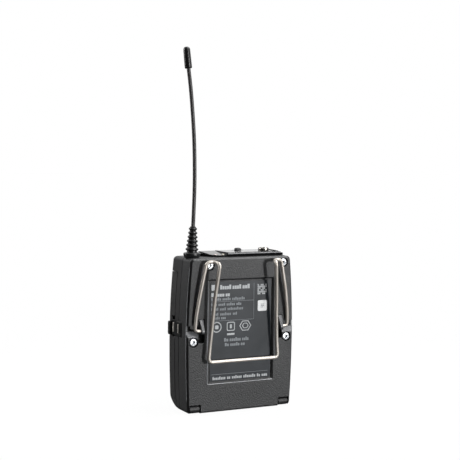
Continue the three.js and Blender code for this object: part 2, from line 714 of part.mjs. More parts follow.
// Cell standing with its terminal nub up, [radius, height above its base]
const CELL_PROFILE = [
  [0, 0], [6.6, 0], [7.15, 0.5], [7.15, 48.7], [6.6, 49.2], [2.7, 49.2], [2.7, 50.2], [0, 50.2],
];
const CELL_BODY = 49.2; // length without the nub

const leftCell = latheZ(CELL_PROFILE.map(([r, h]) => [r, 8.4 + h]), CELL_LEFT_X, CELL_Y, 20);
const rightCell = latheZ(
  CELL_PROFILE.map(([r, h]) => [r, 7.1 + CELL_BODY - h]).reverse(),
  CELL_RIGHT_X,
  CELL_Y,
  20,
);

// Conical contact spring, widest at startZ
function makeSpring(x, startZ, endZ) {
  const [startR, endR] = [4.6, 2.6];
  const turns = 2.5;
  const steps = 26;
  const points = Array.from({ length: steps + 1 }, (_, i) => {
    const t = i / steps;
    const angle = 2 * Math.PI * turns * t;
    const r = startR + (endR - startR) * t;
    const z = startZ + (endZ - startZ) * t;
    return vec(x + r * Math.cos(angle), CELL_Y + r * Math.sin(angle), z);
  });
  return bar(points, 0.22, 5);
}
const contactStrip = (x0, x1, z0, z1) => box(x0, x1, -3.6, 6.8, z0, z1);
const topContact = (x, thickness) =>
  contactStrip(x - 6.2, x + 6.2, BAY_Z1 - 0.05 - thickness, BAY_Z1 - 0.05);
const bridgeContact = contactStrip(
  CELL_LEFT_X - 6.6, CELL_RIGHT_X + 6.6, BAY_Z0 + 0.05, BAY_Z0 + 0.3,
);

// ---------------------------------------------------------------- materials
const finishes = {
  shell_paint: { color: 0x47484a, roughness: 0.62, metalness: 0.35 },
  frame_plastic: { color: 0x2c2d2f, roughness: 0.7, metalness: 0.0 },
  door_paint: { color: 0x3a3b3d, roughness: 0.6, metalness: 0.3 },
  black_plastic: { color: 0x1a1b1c, roughness: 0.6, metalness: 0.0 },
  rubber: { color: 0x161616, roughness: 0.55, metalness: 0.0 },
  spring_wire: { color: 0xc9c1b8, roughness: 0.3, metalness: 0.95 },
  nickel: { color: 0xc8c5c0, roughness: 0.22, metalness: 1.0 },
  screw_steel: { color: 0xe2e4e6, roughness: 0.25, metalness: 1.0 },
  label_print: { color: 0x3f464b, roughness: 0.5, metalness: 0.1 },
  brass: { color: 0xb9974f, roughness: 0.3, metalness: 1.0 },
  circuit_board: { color: 0x1f5a35, roughness: 0.6, metalness: 0.0 },
  shield_tin: { color: 0xb7b9ba, roughness: 0.35, metalness: 0.9 },
  clear_lens: { color: 0x0e1012, roughness: 0.1, metalness: 0.0 },
  lcd_panel: { color: 0x7d3b12, roughness: 0.35, metalness: 0.0 },
  led_red: { color: 0xa31916, roughness: 0.25, metalness: 0.0 },
  led_yellow: { color: 0xc59a18, roughness: 0.25, metalness: 0.0 },
  cell_wrap: { color: 0x2f3f66, roughness: 0.4, metalness: 0.2 },
  key_rubber: { color: 0x3b3d40, roughness: 0.7, metalness: 0.0 },
};
const materials = {};
for (const [name, finish] of Object.entries(finishes)) {
  materials[name] = new THREE.MeshStandardMaterial({ name, ...finish });
}

// ---------------------------------------------------------------- scene graph
const pack = new THREE.Group();
pack.name = "bodypack";

function group(name, parent = pack) {
  const node = new THREE.Group();
  node.name = name;
  parent.add(node);
  return node;
}

function piece(name, shape, material, parent) {
  const { vertProperties, triVerts } = shape.getMesh();
  const geometry = new THREE.BufferGeometry();
  const positions = new Float32Array(vertProperties);
  geometry.setAttribute("position", new THREE.BufferAttribute(positions, 3));
  geometry.setIndex(new THREE.BufferAttribute(new Uint32Array(triVerts), 1));
  geometry.computeVertexNormals();
  const mesh = new THREE.Mesh(geometry, materials[material]);
  mesh.name = name;
  parent.add(mesh);
}

const housing = group("housing");
piece("rear_shell", makeRearShell(), "shell_paint", housing);
piece("front_frame", makeFrontFrame(), "frame_plastic", housing);
piece("top_panel", makeTopPanel(), "black_plastic", housing);
piece("label_plate", labelPlate, "label_print", housing);
piece("clip_lug_left", lugs[0], "black_plastic", housing);
piece("clip_lug_right", lugs[1], "black_plastic", housing);
for (const [name, [x, z]] of Object.entries(SCREWS)) {
  piece("rear_screw_" + name, makeScrew(x, z), "screw_steel", housing);
}
piece("charge_contact_block", contactBlock, "black_plastic", housing);
for (const [name, y] of Object.entries(CONTACT_YS)) {
  piece("charge_contact_" + name, makeContact(y), "nickel", housing);
}

const antenna = group("antenna", housing);
const antennaCollar = latheZ(COLLAR_PROFILE, ANT_X, ANT_Y, 20);
const antennaInsert = latheZ(INSERT_PROFILE, ANT_X, ANT_Y, 12);
piece("antenna_rod", antennaRod, "rubber", antenna);
piece("antenna_tip_cap", tipCap, "rubber", antenna);
piece("antenna_boot", makeBoot(), "rubber", antenna);
piece("antenna_collar", antennaCollar, "rubber", antenna);
piece("antenna_base_insert", antennaInsert, "brass", antenna);

const electronics = group("electronics", housing);
const jackSleeve = latheZ(JACK_PROFILE, JACK_X, JACK_Y, 18);
piece("main_circuit_board", mainBoard, "circuit_board", electronics);
piece("rf_shield_can", shieldCan, "shield_tin", electronics);
piece("control_circuit_board", controlBoard, "circuit_board", electronics);
piece("display_module", displayModule, "lcd_panel", electronics);
piece("display_lens", displayLens, "clear_lens", electronics);
piece("jack_sleeve", jackSleeve, "nickel", electronics);
piece("jack_insulator", jackInsulator, "black_plastic", electronics);
piece("mute_switch_body", muteBody, "black_plastic", electronics);
for (const [color, x] of Object.entries(LED_XS)) {
  piece("led_" + color, latheZ(LED_PROFILE, x, LED_Y, 10), "led_" + color, electronics);
}
for (const [name, { z }] of Object.entries(KEYS)) {
  piece("tact_switch_" + name, makeTactSwitch(z), "shield_tin", electronics);
}

const power = group("power", housing);
piece("aa_cell_left", leftCell, "cell_wrap", power);
piece("aa_cell_right", rightCell, "cell_wrap", power);
piece("battery_bridge_contact", bridgeContact, "nickel", power);
piece("battery_spring_bottom", makeSpring(CELL_LEFT_X, BAY_Z0 + 0.6, 8.1), "nickel", power);
piece("battery_contact_positive", topContact(CELL_LEFT_X, 0.1), "nickel", power);
piece("battery_contact_negative", topContact(CELL_RIGHT_X, 0.25), "nickel", power);
piece("battery_spring_top", makeSpring(CELL_RIGHT_X, BAY_Z1 - 0.6, 57.6), "nickel", power);

piece("belt_clip", makeBeltClip(), "spring_wire", group("clip"));
piece("mute_slider", muteSlider, "black_plastic", group("mute"));
for (const [name, spec] of Object.entries(KEYS)) {
  piece("key_" + name, makeKey(spec), "key_rubber", group("key_group_" + name));
}

const door = group("door");
piece("battery_door", makeDoor(), "door_paint", door);
piece("hinge_pin_left", hingePins[0], "screw_steel", door);
piece("hinge_pin_right", hingePins[1], "screw_steel", door);
piece("catch_left", catches[0], "black_plastic", group("catch_group_left", door));
piece("catch_right", catches[1], "black_plastic", group("catch_group_right", door));

export default pack;
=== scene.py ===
"""A belt pack: rear shell, front frame, battery door, wire belt clip, antenna and jack.

It stands upright on z = 0, centred on x = 0. The rear, with the label and the clip, faces
-Y and the battery door faces +Y. "Left" is -X, the antenna's side.
"""
import bpy
import bmesh
import json
import math
from mathutils import Vector, Matrix


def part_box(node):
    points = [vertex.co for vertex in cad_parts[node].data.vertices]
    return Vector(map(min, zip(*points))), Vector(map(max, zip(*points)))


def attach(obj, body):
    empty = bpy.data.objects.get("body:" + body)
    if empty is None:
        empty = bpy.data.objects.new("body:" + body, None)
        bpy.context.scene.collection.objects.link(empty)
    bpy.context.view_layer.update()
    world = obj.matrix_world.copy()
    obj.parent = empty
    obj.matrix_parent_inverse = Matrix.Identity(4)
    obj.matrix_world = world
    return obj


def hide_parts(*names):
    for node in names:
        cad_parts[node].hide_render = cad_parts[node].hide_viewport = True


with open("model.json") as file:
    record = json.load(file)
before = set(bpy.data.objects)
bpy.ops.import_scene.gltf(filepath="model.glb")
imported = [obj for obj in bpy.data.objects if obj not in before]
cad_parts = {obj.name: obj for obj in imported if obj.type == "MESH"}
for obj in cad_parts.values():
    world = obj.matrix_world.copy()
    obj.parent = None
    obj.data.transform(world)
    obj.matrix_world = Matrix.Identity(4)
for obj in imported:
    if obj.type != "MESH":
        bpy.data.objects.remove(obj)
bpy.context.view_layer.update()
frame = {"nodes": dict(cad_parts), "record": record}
SCENE = bpy.context.scene
SIDES = ((-1, "left"), (1, "right"))

# ---------------------------------------------------------------- dimensions, mm
REAR_Y, FRONT_Y, SHELL_TOP = -12.0, 12.0, 80.0
PART_Y = -2.0                       # where rear shell and frame meet
DOOR_Y, DOOR_TOP = 3.4, 71.8        # rear plane and top of the door
FRAME_REAR_Y = PART_Y + 0.32
UPPER_FRONT_Y = 10.2                # front plane of the body above the door
HALF_MID, HALF_TOP, HALF_BOTTOM, BULGE_Z = 31.1, 29.0, 30.0, 38.0
CORNER = 2.2
WALL, REAR_WALL, DOOR_WALL, DOOR_GAP = 1.5, 1.8, 1.4, 0.35
SPLIT_LIP = 0.14                    # bevel at the planes where the body is split
FAR = 40                            # beyond the body in x
LABEL_HALF, LABEL_Z0, LABEL_Z1, LABEL_DEPTH = 18.6, 15.4, 68.3, 0.8
PRINT_Y = REAR_Y + 0.5              # face of the label
WIRE_R, PIVOT_Y, PIVOT_Z = 0.92, -12.85, 43.0
WIRE_CHAMFER = 0.18
LUG_X0, LUG_X1 = 21.8, 24.3
HINGE_Y, HINGE_Z, ARM_X0, ARM_X1 = -9.7, 2.15, 23.3, 28.6
ANT_X, ANT_Y, JACK_X, JACK_Y = -25.3, -4.6, 19.6, 0.8
BAY_X0, BAY_X1, BAY_Z0, BAY_Z1 = -4.2, 25.2, 5.8, 58.8  # cell bay
KEY_X = -17.0
KEYS = {"power": (51.0, 4.2), "up": (39.6, 3.4), "down": (30.4, 3.4), "set": (19.4, 4.2)}
LIGHTS_Y = -4.5
LIGHT_PIPES = {"red": -11.8, "yellow": -7.4}            # x of each


def screw_place(corner):
    """The (x, z) middle of a rear screw in mm."""
    lo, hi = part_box("rear_screw_" + corner)
    return 500 * (lo.x + hi.x), 500 * (lo.z + hi.z)


SCREWS = {c: screw_place(c) for c in ("upper_left", "upper_right", "lower_left", "lower_right")}


# ---------------------------------------------------------------- outlines and curves
def vec(x, y, z):
    return Vector((x, y, z))


def place(axis, along, u, v):
    """A point at `along` on the axis, with u and v on the other two axes in order."""
    return vec(*{"x": (along, u, v), "y": (u, along, v), "z": (u, v, along)}[axis])


def mirrored(side, near, far):
    """An x range measured outwards from the middle, on side -1 or 1."""
    return (near, far) if side > 0 else (-far, -near)


def circle(cu, cv, radius, count, squash=1.0):
    angles = [2 * math.pi * k / count for k in range(count)]
    return [(cu + radius * math.cos(a), cv + squash * radius * math.sin(a)) for a in angles]


def round_rect(x0, x1, z0, z1, r, n=6):
    points = []
    corners = ((x1 - r, z1 - r, 0), (x0 + r, z1 - r, 90), (x0 + r, z0 + r, 180), (x1 - r, z0 + r, 270))
    for cx, cz, start in corners:
        for i in range(n + 1):
            a = math.radians(start + 90 * i / n)
            points.append((cx + r * math.cos(a), cz + r * math.sin(a)))
    return points


def inset(points, distance, centre):
    """Moves each point of an outline towards its centre, square to the outline."""
    moved = []
    for i, (u, v) in enumerate(points):
        a, b = points[i - 1], points[(i + 1) % len(points)]
        normal = Vector((b[1] - a[1], a[0] - b[0])).normalized()
        if normal.dot(Vector((u - centre[0], v - centre[1]))) < 0:
            normal = -normal
        moved.append((u - normal.x * distance, v - normal.y * distance))
    return moved


def spans(points, steps):
    """Each step's four neighbouring points and its fraction between the middle two."""
    padded = [points[0], *points, points[-1]]
    for four in zip(padded, padded[1:], padded[2:], padded[3:]):
        for k in range(steps):
            yield four, k / steps


def catmull_rom(p0, p1, p2, p3, t):
    return (p1 * 2 + (p2 - p0) * t + (p0 * 2 - p1 * 5 + p2 * 4 - p3) * t * t
            + (p1 * 3 - p0 - p2 * 3 + p3) * t ** 3) * 0.5


def rounded(points, radii, steps):
    """A path with each inner corner turned into a curve."""
    path = [points[0].copy()]
    for before, corner, after, radius in zip(points, points[1:], points[2:], radii[1:]):
        a, b = before - corner, after - corner
        r = min(radius, a.length * 0.49, b.length * 0.49)
        start, end = corner + a.normalized() * r, corner + b.normalized() * r
        for k in range(steps + 1):
            t = k / steps
            path.append(start * ((1 - t) ** 2) + corner * (2 * t * (1 - t)) + end * (t * t))
    path.append(points[-1].copy())
    return path


# ---------------------------------------------------------------- solids
def add(data, name="part"):
    item = bpy.data.objects.new(name, data)
    SCENE.collection.objects.link(item)
    return item


def drop(piece):
    mesh = piece.data
    bpy.data.objects.remove(piece)
    bpy.data.meshes.remove(mesh)


def copy(piece):
    return add(piece.data.copy())


def solid(verts, faces):
    mesh = bpy.data.meshes.new("part")
    mesh.from_pydata([tuple(v) for v in verts], [], faces)
    bm = bmesh.new()
    bm.from_mesh(mesh)
    bmesh.ops.remove_doubles(bm, verts=bm.verts, dist=1e-5)
    bmesh.ops.recalc_face_normals(bm, faces=bm.faces)
    if bm.calc_volume(signed=True) < 0:
        bmesh.ops.reverse_faces(bm, faces=bm.faces)
    bm.to_mesh(mesh)
    bm.free()
    return add(mesh)


def merged(pieces):
    """Separate closed shells kept in one piece."""
    bm = bmesh.new()
    for piece in pieces:
        bm.from_mesh(piece.data)
        drop(piece)
    mesh = bpy.data.meshes.new("part")
    bm.to_mesh(mesh)
    bm.free()
    return add(mesh)


def boolean(piece, tools, operation):
    for tool in tools:
        step = piece.modifiers.new("b", "BOOLEAN")
        step.operation = operation
        step.object = tool
        # the exact solver steps in where the manifold one gives an empty mesh
        for solver in ("MANIFOLD", "EXACT"):
            step.solver = solver
            graph = bpy.context.evaluated_depsgraph_get()
            mesh = bpy.data.meshes.new_from_object(piece.evaluated_get(graph), depsgraph=graph)
            if len(mesh.polygons):
                break
        piece.modifiers.clear()
        old = piece.data
        piece.data = mesh
        bpy.data.meshes.remove(old)
        drop(tool)
    return piece


def cut(piece, *tools):
    return boolean(piece, tools, "DIFFERENCE")


def join(piece, *tools):
    return boolean(piece, tools, "UNION")


def meet(piece, tool):
    return boolean(piece, [tool], "INTERSECT")


def loft(rings):
    """A capped skin through rings of equal point counts."""
    n = len(rings[0])
    faces = []
    for i in range(len(rings) - 1):
        for j in range(n):
            a, b = i * n + j, i * n + (j + 1) % n
            faces.append((a, b, b + n, a + n))
    faces.append(tuple(range(n)))
    faces.append(tuple((len(rings) - 1) * n + j for j in range(n)))
    return solid([p for ring in rings for p in ring], faces)


def stack(axis, levels):
    """A loft through flat outlines: levels of (place along the axis, outline)."""
    return loft([[place(axis, along, u, v) for u, v in points] for along, points in levels])


def prism(axis, points, a0, a1):
    return stack(axis, ((a0, points), (a1, points)))


def block(x0, x1, y0, y1, z0, z1):
    return prism("z", [(x0, y0), (x1, y0), (x1, y1), (x0, y1)], z0, z1)


def side_block(side, near, far, *rest):
    return block(*mirrored(side, near, far), *rest)


def cylinder(axis, radius, cu, cv, a0, a1, count):
    return prism(axis, circle(cu, cv, radius, count), a0, a1)


def soft_prism(axis, points, a0, a1, r, steps=2):
    """A prism of a convex outline whose end rims are rounded."""
    centre = [sum(p[k] for p in points) / len(points) for k in (0, 1)]
    rim = []
    for i in range(steps + 1):
        t = math.pi / 2 * i / steps
        rim.append((a0 + r * (1 - math.sin(t)), r * (1 - math.cos(t))))
    levels = rim[::-1] + [(a0 + a1 - along, d) for along, d in rim]
    return stack(axis, [(along, inset(points, d, centre)) for along, d in levels])


def flared(x0, x1, z0, z1, y0, y1, flare, corner=0.0):
    """A pocket cut from the rear face whose mouth opens out a little at the face."""
    levels = (
        (y0, flare + 0.15), (REAR_Y - 0.02, flare + 0.03), (REAR_Y + 0.05, flare * 0.55),
        (REAR_Y + 0.2, 0.0), (y1, 0.0))
    return stack("y", [(y, round_rect(x0 - d, x1 + d, z0 - d, z1 + d, max(corner + d, 0.06), 3))
                       for y, d in levels])


def lathe(axis, profile, cu, cv, count):
    """Turns (radius, place along the axis) points; a profile off the axis is a closed loop."""
    verts, faces, rows = [], [], []
    for radius, along in profile:
        first = len(verts)
        if radius == 0:
            verts.append(place(axis, along, cu, cv))
            rows.append([first] * count)
        else:
            verts += [place(axis, along, u, v) for u, v in circle(cu, cv, radius, count)]
            rows.append(list(range(first, first + count)))
    if profile[0][0] > 0:
        rows.append(rows[0])
    for low, high in zip(rows, rows[1:]):
        for k in range(count):
            after = (k + 1) % count
            corners = tuple(dict.fromkeys((low[k], low[after], high[after], high[k])))
            if len(corners) > 2:
                faces.append(corners)
    return solid(verts, faces)


def sweep(points, radius, count):
    """A round bar along a path, with one radius or one for each point."""
    last = len(points) - 1
    side = None
    rings = []
    for i, p in enumerate(points):
        along = (points[min(last, i + 1)] - points[max(0, i - 1)]).normalized()
        if side is None:
            side = vec(0.31, 0.17, 0.93).cross(along).normalized()
        side = (side - along * side.dot(along)).normalized()
        other = along.cross(side)
        r = radius[i] if isinstance(radius, list) else radius
        angles = [2 * math.pi * k / count for k in range(count)]
        rings.append([p + (side * math.cos(a) + other * math.sin(a)) * r for a in angles])
    return loft(rings)


# ---------------------------------------------------------------- material building
MATERIALS = {}


def srgb(rgb):
    """Linear RGBA from an 0-255 sRGB colour."""
    parts = [c / 255 for c in rgb]
    return tuple(c / 12.92 if c <= 0.04045 else ((c + 0.055) / 1.055) ** 2.4
                 for c in parts) + (1.0,)


class Nodes:
    """A node tree with short calls for the nodes used here."""

    def __init__(self, owner):
        owner.use_nodes = True
        self.tree = owner.node_tree
        self.tree.nodes.clear()

    def node(self, kind, **settings):
        node = self.tree.nodes.new(kind)
        for key, value in settings.items():
            setattr(node, key, value)
        return node

    def feed(self, socket, value):
        """Sets a plain value or links an output."""
        if isinstance(value, (int, float, tuple)):
            socket.default_value = value
        else:
            self.tree.links.new(value, socket)

    def math(self, operation, a, b):
        node = self.node("ShaderNodeMath", operation=operation)
        self.feed(node.inputs[0], a)
        self.feed(node.inputs[1], b)
        return node.outputs[0]

    def times(self, a, b):
        return self.math("MULTIPLY", a, b)

    def total(self, a, a_share, b, b_share):
        return self.math("ADD", self.times(a, a_share), self.times(b, b_share))

    def ramp(self, value, span, to=(0.0, 1.0), **settings):
        """Maps the span onto the `to` range."""
        node = self.node("ShaderNodeMapRange", **settings)
        for key, number in zip(("From Min", "From Max", "To Min", "To Max"), (*span, *to)):
            node.inputs[key].default_value = number
        self.feed(node.inputs["Value"], value)
        return node.outputs[0]

    def dot(self, a, b):
        node = self.node("ShaderNodeVectorMath", operation="DOT_PRODUCT")
        self.feed(node.inputs[0], a)
        self.feed(node.inputs[1], b)
        return node.outputs["Value"]

    def blend(self, factor, a, b):
        """A mix shader."""
        node = self.node("ShaderNodeMixShader")
        for socket, value in zip(node.inputs, (factor, a, b)):
            self.feed(socket, value)
        return node.outputs[0]


class Material(Nodes):
    def __init__(self, name):
        self.material = MATERIALS[name] = bpy.data.materials.new(name)
        super().__init__(self.material)
        self.output = self.node("ShaderNodeOutputMaterial")
        self.surface = self.node("ShaderNodeBsdfPrincipled")
        self.feed(self.output.inputs[0], self.surface.outputs[0])
        self.place = self.node("ShaderNodeTexCoord").outputs["Object"]

    def stretch(self, scale):
        node = self.node("ShaderNodeMapping")
        node.inputs["Scale"].default_value = scale
        self.feed(node.inputs["Vector"], self.place)
        return node.outputs[0]

    def noise(self, scale, detail=3.0, rough=0.5, at=None):
        node = self.node("ShaderNodeTexNoise")
        node.inputs["Scale"].default_value = scale
        node.inputs["Detail"].default_value = detail
        node.inputs["Roughness"].default_value = rough
        self.feed(node.inputs["Vector"], at or self.place)
        return node.outputs["Fac"]

    def voronoi(self, scale, smooth=None):
        node = self.node("ShaderNodeTexVoronoi", feature="SMOOTH_F1" if smooth else "F1")
        node.inputs["Scale"].default_value = scale
        if smooth:
            node.inputs["Smoothness"].default_value = smooth
        self.feed(node.inputs["Vector"], self.place)
        return node.outputs["Distance"]

    def mix(self, factor, a, b):
        """Mixes colours; three numbers are sRGB 0-255, four are linear."""
        node = self.node("ShaderNodeMix", data_type="RGBA")
        for index, value in ((0, factor), (6, a), (7, b)):
            if isinstance(value, tuple) and len(value) == 3:
                value = srgb(value)
            self.feed(node.inputs[index], value)
        return node.outputs[2]

    def bump(self, height, strength, depth, over=None):
        node = self.node("ShaderNodeBump")
        node.inputs["Strength"].default_value = strength
        node.inputs["Distance"].default_value = depth
        self.feed(node.inputs["Height"], height)
        if over is not None:
            self.feed(node.inputs["Normal"], over)
        return node.outputs[0]

    def edges(self, radius):
        """1 at edges, 0 on open faces."""
        bevel = self.node("ShaderNodeBevel", samples=4)
        bevel.inputs["Radius"].default_value = radius
        geometry = self.node("ShaderNodeNewGeometry")
        return self.ramp(self.dot(bevel.outputs[0], geometry.outputs["Normal"]), (0.995, 0.86))

    def split(self, vector):
        node = self.node("ShaderNodeSeparateXYZ")
        self.feed(node.inputs[0], vector)
        return node.outputs

    def set(self, name, value):
        self.feed(self.surface.inputs[name], value)

    def done(self, color, rough, normal=None, metal=0.0, spec=None, coat=None):
        values = {"Base Color": color, "Roughness": rough, "Metallic": metal, "Normal": normal,
                  "Specular IOR Level": spec, "Coat Weight": coat}
        for name, value in values.items():
            if value is not None:
                self.set(name, value)


def painted(name, base, dark, worn_and_highlit):
    """Leather-grained paint: cells with soft valleys, a finer speck on top, edges lightened in patches
    as wear and as a painted edge highlight.
    """
    m = Material(name)
    grain = 1450
    cells = m.voronoi(grain, smooth=0.6)
    fine = m.noise(grain * 2.6, detail=2.0, rough=0.6)
    cloud = m.noise(55)
    height = m.total(cells, -0.9, fine, 0.6)
    speck = m.ramp(m.total(cells, 0.7, fine, 0.6), (0.35, 0.85))
    color = m.mix(speck, base, dark)
    shade = tuple(c * 0.86 for c in base)
    color = m.mix(m.ramp(cloud, (0.35, 0.7), to=(0.0, 0.22)), color, shade)
    patches = m.ramp(m.noise(420, detail=4.0, rough=0.6), (0.42, 0.72))
    # edge wear in patches, which also paints an edge highlight
    edge_wear_highlight = m.times(m.edges(radius=0.0004), patches)
    color = m.mix(m.times(edge_wear_highlight, 0.7), color, worn_and_highlit)
    rough = m.ramp(m.total(fine, 0.5, cloud, 0.5), (0.3, 0.7), to=(0.42, 0.58))
    m.done(color, rough, m.bump(height, strength=0.75, depth=0.00017), spec=0.62)


def plastic(name, base, rough, grain, depth, strength, spec, edge=None):
    """Moulded plastic, with edges lightened to the `edge` colour, as wear and as a painted edge
    highlight, if one is given.
    """
    m = Material(name)
    spark = m.noise(grain, rough=0.65)
    cloud = m.noise(70)
    color = m.mix(m.ramp(cloud, (0.3, 0.7)), base, tuple(min(255, c * 1.22 + 2) for c in base))
    if edge:
        # edge wear in patches, which also paints an edge highlight
        edge_wear_highlight = m.times(m.edges(radius=0.0003), m.ramp(m.noise(600, rough=0.6), (0.4, 0.7)))
        color = m.mix(m.times(edge_wear_highlight, 0.3), color, edge)
    gloss = m.ramp(m.total(spark, 0.6, cloud, 0.4), (0.35, 0.65), to=rough)
    m.done(color, gloss, m.bump(spark, strength, depth), spec=spec)


def metal(name, base, tint, rough, lines=None, depth=0.000004, grain=900, amount=1.0, rim=0.0):
    """Streaked metal; `lines` stretches the streaks and `rim` paints shade over grazing views,
    darkening the colour towards near-black.
    """
    m = Material(name)
    streak = m.noise(grain, detail=4.0, rough=0.6, at=m.stretch(lines) if lines else None)
    cloud = m.noise(140, rough=0.55)
    color = m.mix(m.ramp(cloud, (0.35, 0.68)), base, tint)
    if rim:
        # painted shade: the colour darkens towards near-black at grazing views
        weight = m.node("ShaderNodeLayerWeight")
        weight.inputs[0].default_value = 0.5
        painted_edge_shade = m.ramp(weight.outputs["Facing"], (0.3, 0.85))
        color = m.mix(m.times(painted_edge_shade, rim), color, (0.03, 0.028, 0.026, 1.0))
    gloss = m.ramp(m.total(streak, 0.6, cloud, 0.4), (0.35, 0.65), to=rough)
    m.done(color, gloss, m.bump(streak, strength=0.5, depth=depth), metal=amount)


def flecked(name, base, fleck, grain, detail, texture, span, rough, strength=0.0, spec=0.4):
    """One noise drives colour, roughness and, where strength is given, a fine bump."""
    m = Material(name)
    noise = m.noise(grain, detail=detail, rough=texture)
    color = m.mix(m.ramp(noise, span), base, fleck)
    gloss = m.ramp(noise, (0.3, 0.7), to=rough)
    normal = m.bump(noise, strength, depth=0.000008) if strength else None
    m.done(color, gloss, normal, spec=spec)
    return m


def ink(name, base, fleck):
    flecked(name, base, fleck, grain=2600, detail=3.0, texture=0.7, span=(0.4, 0.72),
            rough=(0.45, 0.6), strength=0.4)


def light_pipe(name, base, fleck):
    m = flecked(name, base, fleck, grain=1600, detail=3.0, texture=0.6, span=(0.35, 0.7),
                rough=(0.12, 0.25), spec=0.5)
    m.set("Transmission Weight", 0.25)
    m.set("Subsurface Weight", 0.15)
    m.set("Subsurface Radius", (0.0008, 0.0004, 0.0003))


def label_face():
    m = Material("label_face")
    film = m.noise(1900, rough=0.6)
    cloud = m.noise(60)
    waves = m.noise(240, detail=1.0, rough=0.4, at=m.stretch((1.0, 1.0, 0.5)))
    waves = m.bump(waves, strength=0.5, depth=0.00016)
    m.done(m.mix(m.ramp(cloud, (0.3, 0.7)), (28, 35, 42), (23, 29, 34)),
           m.ramp(m.total(film, 0.5, cloud, 0.5), (0.35, 0.65), to=(0.4, 0.52)),
           m.bump(film, strength=0.35, depth=0.000008, over=waves), spec=0.4)


def circuit_board():
    m = Material("circuit_board")
    cells = m.voronoi(260)
    streaks = m.noise(500, detail=2.0, at=m.stretch((1.0, 1.0, 0.2)))
    trace = m.ramp(streaks, (0.52, 0.55))
    m.done(m.mix(m.times(trace, 0.6), (26, 84, 46), (58, 122, 72)),
           m.ramp(cells, (0.0, 0.8), to=(0.28, 0.45)),
           m.bump(trace, strength=0.5, depth=0.00002), spec=0.5)


def clear_lens():
    m = Material("lens_clear")
    dust = m.noise(900, detail=4.0, rough=0.7)
    m.set("Transmission Weight", 0.92)
    m.set("IOR", 1.49)
    m.done(srgb((120, 124, 128)), m.ramp(dust, (0.4, 0.75), to=(0.03, 0.12)), spec=0.5)


def display_body():
    m = Material("display_body")
    dots = m.voronoi(1500)
    m.done(m.mix(m.ramp(dots, (0.2, 0.5)), (168, 92, 30), (140, 72, 22)),
           m.ramp(dots, (0.0, 0.6), to=(0.2, 0.34)),
           m.bump(dots, strength=0.2, depth=0.00001), spec=0.5)


def cell_sleeve():
    """Blue sleeve with a pale band above z = 43.5 mm."""
    m = Material("cell_sleeve")
    height = m.split(m.place)[2]
    scuff = m.noise(700, detail=4.0, rough=0.6)
    band = m.times(m.ramp(height, (0.0435, 0.0436)), 1.0)
    color = m.mix(band, (44, 58, 92), (186, 190, 194))
    color = m.mix(m.ramp(scuff, (0.6, 0.8), to=(0.0, 0.1)), color, (120, 128, 146))
    m.done(color, m.ramp(scuff, (0.3, 0.7), to=(0.22, 0.4)),
           m.bump(scuff, strength=0.25, depth=0.00001), metal=0.15, spec=0.5, coat=0.3)


# ---------------------------------------------------------------- materials
painted("shell_paint", base=(46, 47, 49), dark=(29, 30, 31), worn_and_highlit=(112, 114, 117))
painted("door_paint", base=(45, 45, 46), dark=(31, 31, 32), worn_and_highlit=(96, 97, 99))

# name, colour, roughness range, grain, bump depth, bump strength, specular, edge colour (wear and
# painted highlight)
PLASTICS = (
    ("frame_plastic", (42, 42, 43), (0.45, 0.6), 1900, 0.00003, 0.7, 0.45, (72, 73, 75)),
    ("black_plastic", (21, 22, 23), (0.26, 0.4), 2400, 0.00002, 0.5, 0.5, (70, 71, 72)),
    # panel lip: lighter than the panel, a painted highlight on the lit rear lip
    ("panel_lip", (74, 75, 77), (0.3, 0.4), 1500, 0.000006, 0.4, 0.5),
    ("panel_gloss", (25, 26, 27), (0.1, 0.16), 2200, 0.000002, 0.3, 0.75),
    ("panel_seal", (11, 11, 12), (0.8, 0.95), 2400, 0.00002, 0.5, 0.12),
    # the edge beads' colour is a painted highlight
    ("burnished_edge", (150, 152, 156), (0.26, 0.36), 1500, 0.00001, 0.5, 0.6),
    # channel slopes: lighter than the shell paint, a painted highlight
    ("channel_paint", (74, 75, 78), (0.3, 0.4), 1300, 0.00002, 0.6, 0.7, (112, 114, 117)),
    # the left rim bevel: near-black, painted shade
    ("bevel_paint", (14, 14, 15), (0.5, 0.62), 1600, 0.00001, 0.5, 0.3),
    ("knuckle_plastic", (30, 30, 31), (0.4, 0.55), 2200, 0.00003, 0.6, 0.45, (84, 85, 87)),
    # the lugs: lighter than the black plastic, a painted highlight on their lit facets
    ("clip_lug_plastic", (60, 61, 64), (0.26, 0.36), 2400, 0.00002, 0.5, 0.6, (96, 97, 99)),
    ("key_rubber", (68, 69, 72), (0.55, 0.7), 2200, 0.00003, 0.6, 0.4),
    ("antenna_rubber", (17, 17, 18), (0.24, 0.42), 1500, 0.000015, 0.4, 0.5),
    ("rod_sheath", (46, 44, 44), (0.34, 0.46), 1300, 0.000003, 0.4, 0.5),
)
for row in PLASTICS:
    plastic(*row)

# rim: a mild painted dark outline at grazing views
metal("spring_wire", base=(208, 202, 194), tint=(199, 192, 184), rough=(0.46, 0.52),
      lines=(1.0, 1.0, 0.1), depth=0.0000008, grain=1500, amount=0.78, rim=0.22)
# rim: a strong painted dark outline at grazing views
metal("bright_nickel", base=(176, 173, 168), tint=(146, 142, 136), rough=(0.14, 0.26), rim=0.99)
metal("screw_steel", base=(236, 238, 240), tint=(216, 219, 222), rough=(0.3, 0.42), grain=1600)
# near-white and mostly not metallic, so the pads read bright: a painted highlight over nickel
metal("contact_nickel_highlight", base=(248, 243, 234), tint=(236, 230, 220), rough=(0.38, 0.48),
      depth=0.000003, grain=1400, amount=0.25)
metal("turned_brass", base=(196, 160, 88), tint=(168, 132, 66), rough=(0.18, 0.34),
      lines=(1.0, 1.0, 6.0))
metal("tinned_sheet", base=(196, 198, 198), tint=(168, 170, 172), rough=(0.28, 0.46))

